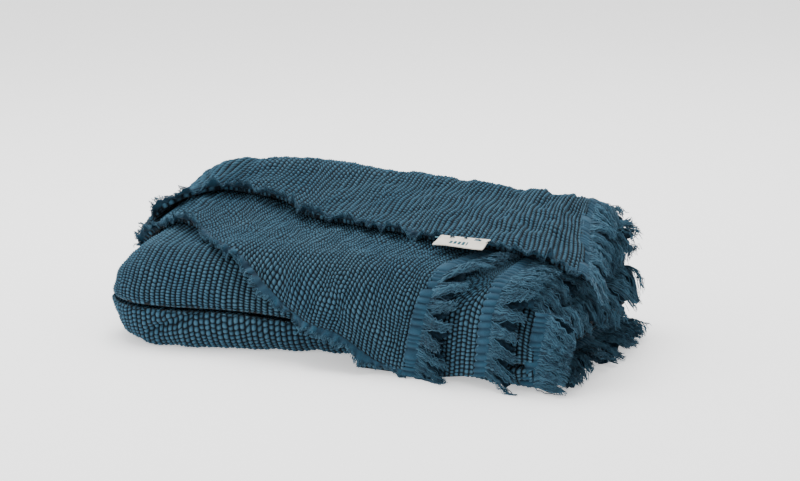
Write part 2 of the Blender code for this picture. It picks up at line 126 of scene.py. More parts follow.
class Route:
    """A smooth curve through a few flat points, measured by its length."""

    def __init__(self, points: Iterable[tuple[float, float]]) -> None:
        """Args: points: (across, back) in metres, in order."""
        dots = np.array(list(points), float)
        padded = np.vstack([2 * dots[0] - dots[1], dots, 2 * dots[-1] - dots[-2]])
        t = np.linspace(0.0, 1.0, 24, endpoint=False)[:, None]
        pieces = []
        for i in range(len(dots) - 1):
            a, b, c, d = padded[i:i + 4]
            pieces.append(0.5 * (2 * b + (c - a) * t + (2 * a - 5 * b + 4 * c - d) * t ** 2
                                 + (3 * b - a - 3 * c + d) * t ** 3))
        self.dots = np.vstack(pieces + [dots[-1:]])
        steps = np.linalg.norm(np.diff(self.dots, axis=0), axis=1)
        self.run = np.concatenate([[0.0], np.cumsum(steps)])
        self.length = float(self.run[-1])

    def at(self, distance: Array) -> Array:
        """Point at a distance along the curve; straight on past either end.

        Args: distance: metres from the start of the curve.
        Returns: points, two numbers each.
        """
        distance = np.asarray(distance, float)
        inside = np.clip(distance, 0.0, self.length)
        spot = np.stack([np.interp(inside, self.run, self.dots[:, k]) for k in (0, 1)], axis=-1)
        first = (self.dots[6] - self.dots[0]) / self.run[6]
        last = (self.dots[-1] - self.dots[-7]) / (self.run[-1] - self.run[-7])
        under = np.minimum(distance, 0.0)[..., None]
        over = np.maximum(distance - self.length, 0.0)[..., None]
        return spot + under * first + over * last


# --- the bundle's form ---------------------------------------------------------------------
@dataclass
class Bundle:
    """Heights and outline of the folded bundle; all cloth is laid over this form."""

    run_length: float = 0.521
    run_depth: float = 0.284
    left_x: float = -0.311
    lower_left: float = 0.047
    lower_right: float = 0.026
    stack_height: float = 0.118
    top_slope: float = 0.11
    right_drop: float = 0.005
    end_droop: float = 0.012
    left_hump: float = 0.006
    inner_left: float = 0.019
    inner_right: float = 0.009
    inner_fade: float = 0.170
    front_waist: float = 0.044
    end_skew: float = 0.05
    ply: float = 0.010
    gap: float = 0.0008
    left_roll: float = 0.075
    left_base: float = 0.0078
    back_roll: float = 0.056
    front_roll: float = 0.050
    drape_roll: float = 0.045
    drape_reach: float = 0.1365
    ease: float = 0.0018
    ease_lead: float = 0.020
    front_corner: float = 0.070
    back_corner: float = 0.045
    shift: Array = field(default_factory=lambda: np.zeros(3))

    def __post_init__(self) -> None:
        """Work out the edges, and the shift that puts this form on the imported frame."""
        self.front_y, self.back_y = -self.run_depth / 2.0, self.run_depth / 2.0
        self.right_x = self.left_x + self.run_length
        self.roll_x = self.left_x + self.left_roll
        self.roll_y = self.back_y - self.back_roll
        low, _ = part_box("lower_run")
        self.shift = np.array([low[0] - self.left_x, low[1] - self.front_y, 0.0])

    def along(self, share: float) -> float:
        """X at a share of the runs' length, 0 at the left fold."""
        return self.left_x + self.run_length * share

    def waist(self, x: Array) -> Array:
        """Hollow of the front face, 0 at its ends and 1 at its deepest."""
        reach = (x - self.along(0.568)) / (0.42 * self.run_length)
        return 0.5 + 0.5 * np.cos(math.pi * np.clip(reach, -1.0, 1.0))

    def front_line(self, x: Array) -> Array:
        """Y of the front fold of the runs.

        Args: x: distance along the bundle.
        Returns: Y at each x.
        """
        corner = self.front_corner
        reach = np.clip(corner - (x - self.left_x), 0.0, corner)
        bend = corner - np.sqrt(corner ** 2 - reach ** 2)
        return self.front_y + self.front_waist * self.waist(x) + bend

    def back_line(self, x: Array) -> Array:
        """Y of the back fold of the runs.

        Args: x: distance along the bundle.
        Returns: Y at each x.
        """
        corner = self.back_corner
        reach = np.clip(corner - (x - self.left_x), 0.0, corner)
        return self.back_y - corner + np.sqrt(corner ** 2 - reach ** 2)

    def crease(self, x: Array) -> Array:
        """Height of the crease between the lower and the middle run."""
        share = smooth((x - self.along(0.26)) / (0.40 * self.run_length))
        return mix(self.lower_left, self.lower_right, share)

    def stack_top(self, x: Array, y: Array) -> Array:
        """Top of the middle run away from its folds.

        Args: x: distance along the bundle; y: distance back.
        Returns: height at each point.
        """
        droop = self.right_drop * smooth((x - self.along(0.59)) / (0.38 * self.run_length))
        droop = droop + self.end_droop * smooth((x - self.along(0.87)) / 0.120)
        hump = self.left_hump * (1.0 - smooth((x - self.along(0.10)) / (0.40 * self.run_length)))
        rise = self.top_slope * y + hump * smooth((y + 0.06) / 0.09)
        return self.stack_height + rise - droop

    def inner_edge(self, x: Array) -> Array:
        """Y of the front edge of the plies folded inside the flap."""
        return mix(0.012, -0.076, smooth((x - self.along(0.12)) / (0.90 * self.run_length)))

    def inner_height(self, x: Array, y: Array) -> Array:
        """Thickness of the plies folded inside the flap.

        Args: x: distance along the bundle; y: distance back.
        Returns: thickness at each point.
        """
        share = smooth((x - self.along(0.2)) / (0.7 * self.run_length))
        edge = self.inner_edge(x)
        full = mix(self.inner_left, self.inner_right, share)
        return full * smooth((y - edge) / 0.11) * smooth((x - self.left_x) / self.inner_fade)

    def second_front(self, x: Array) -> Array:
        """Y of the middle of the ply that hangs just in front of the runs.

        Args: x: distance along the bundle.
        Returns: Y at each x.
        """
        skewed = x - self.end_skew * self.front_y * (x - self.left_x) / self.run_length
        run_front = self.front_y + self.front_waist * self.waist(skewed)
        free = self.ply + self.gap - self.drape_reach
        return np.minimum(free, run_front - self.gap - 0.5 * self.ply)

    def drape_front(self, x: Array) -> Array:
        """Y of the middle of the draped ply where it hangs."""
        share = smooth((x - self.along(0.40)) / 0.08)
        return self.second_front(x) - (self.ply + self.gap) * share

    def ease_share(self, past: Array) -> Array:
        """Share of the extra air that a ply keeps at a distance past the start of a fold."""
        return smooth((past + self.ease_lead) / (2.0 * self.ease_lead))

    def wrapped(self, across: Array, back: Array, lift: Array) -> Array:
        """Points of cloth laid over the runs.

        Args:
            across, back: distances over the cloth, equal to X and Y on the flat top.
            lift: height over the top of the middle run.
        Returns:
            Points before the shift onto the frame, in metres.
        """
        across, back, lift = np.broadcast_arrays(*(np.asarray(a, float)
                                                   for a in (across, back, lift)))
        ease = self.ease * (lift + 0.5 * self.ply) / self.ply
        mean_roll = 0.5 * (self.left_roll + self.stack_height / 2.0)
        angle = np.clip((self.roll_x - across) / mean_roll, 0.0, math.pi / 2.0)
        x = np.where(across < self.roll_x,
                     self.roll_x - (self.left_roll + lift + ease) * np.sin(angle), across)
        left = np.cos(angle)
        lift = lift + ease * self.ease_share(self.roll_x - across)
        angle = np.clip((back - self.roll_y) / (self.back_roll + lift), 0.0, math.pi / 2.0)
        y = np.where(back > self.roll_y,
                     self.roll_y + (self.back_roll + lift + ease) * np.sin(angle), back)
        rear = np.cos(angle)
        lift = lift + ease * self.ease_share(back - self.roll_y)
        roll = self.drape_roll
        start = self.drape_front(x) + roll
        angle = np.clip((start - back) / roll, 0.0, None)
        bend = np.minimum(angle, math.pi / 2.0)
        y = np.where(back < start, start - roll * np.sin(bend), y)
        drop = roll * (1.0 - np.cos(bend) + angle - bend)
        base = self.crease(x) + self.left_base
        top = base + (self.stack_top(x, y) + lift - base) * left * rear
        return stack3(x, y, top - drop)

    def on_frame(self, points: Array) -> Array:
        """The same points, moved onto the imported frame."""
        return points + self.shift


# --- cloth patterns ------------------------------------------------------------------------
@dataclass(frozen=True)
class Weave:
    """The crinkled waffle: ribs of slanted beads with deep gaps between the ribs.

    Both the mesh relief and the shader read it from two counters: ribs along the selvedge and
    beads along a rib.
    """

    rib: float = 0.0066
    bead: float = 0.0044
    height: float = 0.0030
    slant: float = 0.30
    rib_samples: int = 4
    bead_samples: int = 3

    def crowding(self, s: Array, d: Array, seed: int) -> Array:
        """Beads pushed together or apart by the crinkle of the yarn, in beads."""
        return 0.45 * Ripples(seed, 0.050)(s, d) + 0.16 * Ripples(seed + 1, 0.014)(s, d)

    def relief(self, rib: Array, bead: Array) -> Array:
        """Height share of the beads, 0 in the gaps and about 1 on their crowns.

        Args: rib: rib counter; bead: bead counter.
        Returns: height share for each pair.
        """
        column = np.floor(rib)
        across = rib - column
        along = bead + self.slant * across + 0.5 * np.sin(column * 2.4)
        row = np.floor(along)
        within = along - row
        tall = 0.84 + 0.16 * np.sin(column * 3.7 + row * 5.9)
        ridge = np.abs(np.sin(math.pi * across))
        knot = np.abs(np.sin(math.pi * within)) ** 0.9
        return tall * ridge * (0.12 + 0.88 * knot)


# --- mesh making ---------------------------------------------------------------------------
def unit_grid(columns: int, rows: int, thick: bool) -> tuple[bpy.types.Mesh, Array, Array, Array]:
    """A grid, or a closed slab of two grids, with the shares of each vertex.

    Args:
        columns, rows: faces each way.
        thick: whether the grid is extruded to a closed slab.
    Returns:
        The mesh, and for each vertex its share along, its share in, and its side, 0 or 1.
    """
    bm = bmesh.new()
    bmesh.ops.create_grid(bm, x_segments=columns, y_segments=rows, size=1.0)
    if thick:
        made = bmesh.ops.extrude_face_region(bm, geom=bm.faces[:])
        raised = [g for g in made["geom"] if isinstance(g, bmesh.types.BMVert)]
        bmesh.ops.translate(bm, vec=Vector((0.0, 0.0, 1.0)), verts=raised)
        bmesh.ops.recalc_face_normals(bm, faces=bm.faces[:])
    mesh = bpy.data.meshes.new("grid")
    bm.to_mesh(mesh)
    bm.free()
    flat = np.empty(len(mesh.vertices) * 3, np.float32)
    mesh.vertices.foreach_get("co", flat)
    flat = flat.reshape(-1, 3).astype(float)
    return mesh, (flat[:, 0] + 1.0) / 2.0, (flat[:, 1] + 1.0) / 2.0, flat[:, 2]


def put_points(mesh: bpy.types.Mesh, points: Array, uv: Optional[Array] = None) -> None:
    """Move the mesh's vertices to `points`, and store `uv` per vertex as its UV map.

    Args: mesh: the mesh; points: points, three numbers each; uv: a UV pair for each vertex.
    """
    mesh.vertices.foreach_set("co", points.astype(np.float32).ravel())
    if uv is not None:
        layer = mesh.uv_layers.new(name="cloth")
        corner = np.empty(len(mesh.loops), np.int32)
        mesh.loops.foreach_get("vertex_index", corner)
        layer.data.foreach_set("uv", uv[corner].astype(np.float32).ravel())
    mesh.update()


def as_object(name: str, data: bpy.types.ID, material: bpy.types.Material) -> bpy.types.Object:
    """A linked object with its material, smooth where it is a mesh.

    Args: name: its name; data: its mesh or curve; material: its finish.
    Returns: the object.
    """
    data.name = name
    made = bpy.data.objects.new(name, data)
    bpy.context.scene.collection.objects.link(made)
    data.materials.append(material)
    if isinstance(data, bpy.types.Mesh):
        data.shade_smooth()
    return made


def unit(vectors: Array) -> Array:
    """The same vectors at length 1."""
    return vectors / np.maximum(np.linalg.norm(vectors, axis=-1, keepdims=True), 1e-12)


@dataclass(frozen=True)
class Surface:
    """A cloth surface as a rule from two shares to a point."""

    rule: Callable[[Array, Array], Array]
    step: float = 0.003

    def normal(self, u: Array, w: Array) -> Array:
        """Unit normal on the side where u, w and the normal are right-handed.

        Args: u: share along the piece; w: share across the piece.
        Returns: unit vectors.
        """
        along = self.rule(u + self.step, w) - self.rule(u - self.step, w)
        inward = self.rule(u, w + self.step) - self.rule(u, w - self.step)
        return unit(np.cross(along, inward))

    def raised(self, u: Array, w: Array, height: Array) -> Array:
        """Points `height` off the surface."""
        height = np.asarray(height, float)[..., None]
        return self.rule(u, w) + self.normal(u, w) * height


def cloth_slab(name: str, surface: Surface, size: tuple[int, int], low: Callable, high: Callable,
               material: bpy.types.Material, uv: Optional[Callable] = None) -> bpy.types.Object:
    """A closed sheet between two heights off a surface.

    Args:
        name: the piece's name.
        surface: where the sheet lies.
        size: faces each way.
        low, high: heights of its two faces as functions of (u, w).
        material: its finish.
        uv: optional function of (u, w) to a UV pair.
    Returns:
        The finished object.
    """
    mesh, u, w, side = unit_grid(size[0], size[1], thick=True)
    height = np.where(side > 0.5, high(u, w), low(u, w))
    points = surface.raised(u, w, height)
    points[:, 2] = np.maximum(points[:, 2], FLOOR_REST * (0.3 + side))
    put_points(mesh, points, uv(u, w) if uv else None)
    return as_object(name, mesh, material)


def cloth_skin(name: str, surface: Surface, size: tuple[int, int], high: Callable,
               material: bpy.types.Material, uv: Callable) -> bpy.types.Object:
    """A one-sided relief whose rim dips into the sheet below it; arguments as cloth_slab.

    Args: name: its name; surface: where it lies; size: faces each way, or the size in metres;
        high: height as a function of (u, w); material: its finish; uv: a UV pair for each vertex.
    Returns: the finished object.
    """
    mesh, u, w, _ = unit_grid(size[0], size[1], thick=False)
    points = surface.raised(u, w, high(u, w))
    points[:, 2] = np.maximum(points[:, 2], FLOOR_REST)
    put_points(mesh, points, uv(u, w))
    return as_object(name, mesh, material)


# --- shader writing ------------------------------------------------------------------------
class Wire:
    """A shader socket that takes part in Python arithmetic."""

    def __init__(self, desk: "Desk", socket: bpy.types.NodeSocket) -> None:
        """Args: desk: the node tree's helper; socket: the output it stands for."""
        self.desk, self.socket = desk, socket

    def _math(self, operation: str, *values: object) -> "Wire":
        """A Math node on numbers or wires."""
        return self.desk.node("ShaderNodeMath", {"operation": operation}, dict(enumerate(values)))

    def __add__(self, other: object) -> "Wire":
        """Sum."""
        return self._math("ADD", self, other)

    __radd__ = __add__

    def __sub__(self, other: object) -> "Wire":
        """Difference."""
        return self._math("SUBTRACT", self, other)

    def __rsub__(self, other: object) -> "Wire":
        """Reflected difference."""
        return self._math("SUBTRACT", other, self)

    def __mul__(self, other: object) -> "Wire":
        """Product."""
        return self._math("MULTIPLY", self, other)

    __rmul__ = __mul__

    def __truediv__(self, other: object) -> "Wire":
        """Quotient."""
        return self._math("DIVIDE", self, other)

    def __pow__(self, other: object) -> "Wire":
        """Power."""
        return self._math("POWER", self, other)

    def floor(self) -> "Wire":
        """Whole part."""
        return self._math("FLOOR", self)

    def fract(self) -> "Wire":
        """Part past the whole number."""
        return self._math("FRACT", self)

    def sine(self) -> "Wire":
        """Sine of an angle in radians."""
        return self._math("SINE", self)

    def absolute(self) -> "Wire":
        """Size without sign."""
        return self._math("ABSOLUTE", self)

    def above(self, limit: float) -> "Wire":
        """1 where the value is over a limit, else 0."""
        return self._math("GREATER_THAN", self, limit)

    def clamped(self) -> "Wire":
        """Value held between 0 and 1."""
        return self.desk.node("ShaderNodeClamp", {}, {"Value": self})


class Desk:
    """One material's node tree, with short ways to place nodes."""

    def __init__(self, name: str) -> None:
        """Args: name: the material's name."""
        self.material = bpy.data.materials.new(name)
        self.material.use_nodes = True
        self.tree = self.material.node_tree
        self.shader = self.tree.nodes["Principled BSDF"]

    def node(self, kind: str, settings: dict, inputs: dict, output: object = 0) -> Wire:
        """Place a node.

        Args:
            kind: the node's type.
            settings: its own settings, set first.
            inputs: socket name or index to a number, colour or wire.
            output: which output to return.
        Returns:
            The chosen output.
        """
        made = self.tree.nodes.new(kind)
        for key, value in settings.items():
            setattr(made, key, value)
        for key, value in inputs.items():
            self.feed(made.inputs[key], value)
        return Wire(self, made.outputs[output])

    def feed(self, socket: bpy.types.NodeSocket, value: object) -> None:
        """Link a wire to a socket, or set its plain value.

        Args: socket: the input; value: a wire or a plain value.
        """
        if isinstance(value, Wire):
            self.tree.links.new(value.socket, socket)
        else:
            socket.default_value = value

    def noise(self, where: Wire, scale: float, detail: float = 2.0) -> Wire:
        """Noise from 0 to 1 at points `where`."""
        return self.node("ShaderNodeTexNoise", {}, {"Vector": where, "Scale": scale,
                                                    "Detail": detail}, "Fac")

    def place(self) -> Wire:
        """Object coordinates."""
        return self.node("ShaderNodeTexCoord", {}, {}, "Object")

    def blend(self, share: Wire, low: tuple, high: tuple) -> Wire:
        """Colour between two colours.

        Args: share: 0 to 1; low: at share 0; high: at share 1.
        Returns: the mixed colour.
        """
        made = self.tree.nodes.new("ShaderNodeMix")
        made.data_type = "RGBA"
        self.feed(made.inputs[0], share)
        self.feed(made.inputs[6], low)
        self.feed(made.inputs[7], high)
        return Wire(self, made.outputs[2])

    def counters(self) -> tuple[Wire, Wire]:
        """The two counters of the piece's own cloth map."""
        spot = self.node("ShaderNodeUVMap", {"uv_map": "cloth"}, {})
        made = self.tree.nodes.new("ShaderNodeSeparateXYZ")
        self.feed(made.inputs[0], spot)
        return Wire(self, made.outputs[0]), Wire(self, made.outputs[1])

    def bump(self, height: Wire, distance: float, strength: float = 1.0) -> Wire:
        """Normal bent by a height share of `distance` metres."""
        return self.node("ShaderNodeBump", {}, {"Height": height, "Distance": distance,
                                                "Strength": strength}, "Normal")

    def finish(self, colour: object, roughness: object, normal: Optional[Wire] = None,
               **plain: object) -> bpy.types.Material:
        """Wire up the shader; `plain` holds uniform socket values by name with _ for spaces.

        Args: colour: a wire or a colour; roughness: a wire or a number;
            normal: bent normal, if any.
        Returns: the material.
        """
        self.feed(self.shader.inputs["Base Color"], colour)
        self.feed(self.shader.inputs["Roughness"], roughness)
        if normal is not None:
            self.feed(self.shader.inputs["Normal"], normal)
        for key, value in plain.items():
            self.shader.inputs[key.replace("_", " ")].default_value = value
        return self.material


def tint(red: int, green: int, blue: int) -> tuple[float, float, float, float]:
    """Screen colour, 0 to 255, as linear light.

    Args: red: 0 to 255; green: 0 to 255; blue: 0 to 255.
    Returns: linear red, green, blue and alpha.
    """
    def linear(value: float) -> float:
        """One channel."""
        value /= 255.0
        return value / 12.92 if value <= 0.04045 else ((value + 0.055) / 1.055) ** 2.4
    return linear(red), linear(green), linear(blue), 1.0


@dataclass(frozen=True)
class WovenCotton:
    """Matt teal waffle cotton: teal bead crowns, gaps painted near-black as shade, fine yarn on
    each bead.
    """

    weave: Weave
    # painted shade: near-black colour of the gaps between the beads, where shade falls
    gap: tuple = tint(3, 12, 20)
    crown: tuple = tint(50, 86, 107)
    faded: tuple = tint(64, 97, 114)

    def build(self, name: str = "woven_cotton") -> bpy.types.Material:
        """The material; reads the cloth map's rib and bead counters.

        Args: name: its name.
        Returns: the material.
        """
        desk = Desk(name)
        rib, bead = desk.counters()
        across = rib.fract()
        column = rib.floor()
        along = bead + across * self.weave.slant + (column * 2.4).sine() * 0.5
        row = along.floor()
        within = along - row
        ridge = (across * math.pi).sine().absolute()
        knot = (within * math.pi).sine().absolute() ** 0.9
        tall = (column * 3.7 + row * 5.9).sine() * 0.16 + 0.84
        relief = ridge * (knot * 0.88 + 0.12) * tall
        where = desk.place()
        yarn = desk.noise(where, 1400.0, 3.0)
        patches = desk.noise(where, 14.0, 2.0)
        fibre = desk.noise(where, 420.0, 2.0)
        # painted shade: where the bead relief is low the colour goes to the near-black gap colour
        share = (relief * 1.60 - 0.22 + (fibre - 0.5) * 0.40).clamped()
        body = desk.blend((patches * 1.6 - 0.4).clamped(), self.crown, self.faded)
        colour = desk.blend(share, self.gap, body)
        height = relief + yarn * 0.10 + fibre * 0.12
        return desk.finish(colour, 0.88, desk.bump(height, 0.0016, 0.9),
                           Specular_IOR_Level=0.12, Sheen_Weight=0.03, Sheen_Roughness=0.5)


@dataclass(frozen=True)
class BandCotton:
    """Smooth plain-woven band at the selvedges and headers, with fine threads across it, and
    painted shade in its gathers and ruffle troughs.
    """

    light: tuple = tint(44, 80, 100)
    # partly random cloudy tone, partly painted shade in the gathers' creases and the ruffle's
    # troughs
    dark: tuple = tint(10, 28, 42)

    def build(self, name: str = "band_cotton") -> bpy.types.Material:
        """The material; fine yarn on object coordinates.

        Args: name: its name.
        Returns: the material.
        """
        desk = Desk(name)
        where = desk.place()
        # second map counter: the pleat or ruffle height share, which carries the painted shade
        _, fold = desk.counters()
        yarn = desk.noise(where, 900.0, 3.0)
        cloudy = desk.noise(where, 60.0, 3.0)
        # cloudy tone times the painted shade share, darker where the pleat or ruffle is low
        share = ((cloudy * 0.9 + 0.10 + (yarn - 0.5) * 0.5) * (fold + 0.05)).clamped()
        colour = desk.blend(share, self.dark, self.light)
        height = yarn * 0.5 + cloudy
        return desk.finish(colour, 0.86, desk.bump(height, 0.0006, 0.8),
                           Specular_IOR_Level=0.14, Sheen_Weight=0.04, Sheen_Roughness=0.5)


@dataclass(frozen=True)
class FringeThread:
    """Loose cotton threads, each lighter or darker than the next at random."""

    light: tuple = tint(62, 100, 120)
    dark: tuple = tint(16, 38, 53)

    def build(self, name: str = "fringe_thread") -> bpy.types.Material:
        """The material; varies from thread to thread, and a little along each.

        Args: name: its name.
        Returns: the material.
        """
        desk = Desk(name)
        own = desk.node("ShaderNodeNewGeometry", {}, {}, "Random Per Island")
        along = desk.noise(desk.place(), 120.0, 1.0)
        share = (own * 0.8 + along * 0.7 - 0.3).clamped()
        colour = desk.blend(share, self.dark, self.light)
        return desk.finish(colour, 0.85, None, Specular_IOR_Level=0.16, Sheen_Weight=0.05,
                           Sheen_Roughness=0.5)


@dataclass(frozen=True)
class PaintedShadeFringeMat:
    """Felted threads deep in a fringe, coloured near-black as painted shade."""

    # painted shade: both colours are far darker than the loose threads' own teal
    light: tuple = tint(22, 44, 58)
    dark: tuple = tint(5, 14, 22)

    def build(self, name: str = "fringe_mat") -> bpy.types.Material:
        """The material, streaky, and dark with painted shade.

        Args: name: its name.
        Returns: the material.
        """
        desk = Desk(name)
        where = desk.place()
        streak = desk.noise(where, 300.0, 3.0)
        colour = desk.blend((streak * 1.8 - 0.4).clamped(), self.dark, self.light)
        return desk.finish(colour, 0.92, desk.bump(streak, 0.0015, 0.9),
                           Specular_IOR_Level=0.1)


@dataclass(frozen=True)
class LabelTape:
    """Undyed cotton tape with a fine plain weave and a few small printed dashes."""

    cloth: tuple = tint(226, 222, 212)
    shade: tuple = tint(196, 190, 178)
    ink: tuple = tint(8, 70, 82)

    def build(self, name: str = "label_tape") -> bpy.types.Material:
        """The material; the map runs 0 to 1 over the label's face.

        Args: name: its name.
        Returns: the material.
        """
        desk = Desk(name)
        u, w = desk.counters()
        warp = (u * 330.0).sine() * 0.5 + (w * 160.0).sine() * 0.5
        where = desk.place()
        cloudy = desk.noise(where, 90.0, 2.0)
        colour = desk.blend((cloudy * 1.4 - 0.2 + warp * 0.10).clamped(), self.shade, self.cloth)
        inside = (u - 0.26).above(0.0) * (0.64 - u).above(0.0)
        line = (0.14 - (w - 0.38).absolute()).above(0.0)
        dash = ((u * 12.0).fract() - 0.34).above(0.0)
        printed = desk.blend(inside * line * dash, colour, self.ink)
        return desk.finish(printed, 0.8, desk.bump(warp, 0.00012, 0.6), Specular_IOR_Level=0.3)


@dataclass(frozen=True)
class PlainThread:
    """Sewing thread."""

    colour: tuple = tint(52, 96, 112)

    def build(self, name: str = "sewing_thread") -> bpy.types.Material:
        """The material, with its twist as bump.

        Args: name: its name.
        Returns: the material.
        """
        desk = Desk(name)
        twist = desk.noise(desk.place(), 1600.0, 1.0)
        return desk.finish(desk.blend(twist, self.colour, tint(86, 130, 144)), 0.7,
                           desk.bump(twist, 0.0002))


@dataclass
class Finishes:
    """All the finishes, built once."""

    weave: Weave = field(default_factory=Weave)

    def __post_init__(self) -> None:
        """Build each material."""
        self.cotton = WovenCotton(self.weave).build()
        self.band = BandCotton().build()
        self.thread = FringeThread().build()
        self.mat = PaintedShadeFringeMat().build()
        self.tape = LabelTape().build()
        self.sewing = PlainThread().build()


# --- threads -------------------------------------------------------------------------------
def thread_bundle(name: str, paths: Array, radius: float,
                  material: bpy.types.Material) -> bpy.types.Object:
    """Many fine threads as one curve piece.

    Args:
        name: the piece's name.
        paths: points of every thread, shaped (threads, points, 3).
        radius: radius at the root; tips are thinner.
        material: their finish.
    Returns:
        The curve's object.
    """
    curve = bpy.data.curves.new(name, "CURVE")
    curve.dimensions = "3D"
    curve.bevel_depth = radius
    curve.bevel_resolution = 0
    curve.resolution_u = 1
    curve.use_fill_caps = True
    count = paths.shape[1]
    taper = np.linspace(1.0, 0.55, count)
    row = np.ones((count, 4))
    for path in paths:
        spline = curve.splines.new("POLY")
        spline.points.add(count - 1)
        row[:, :3] = path
        spline.points.foreach_set("co", row.ravel())
        spline.points.foreach_set("radius", taper)
    return as_object(name, curve, material)


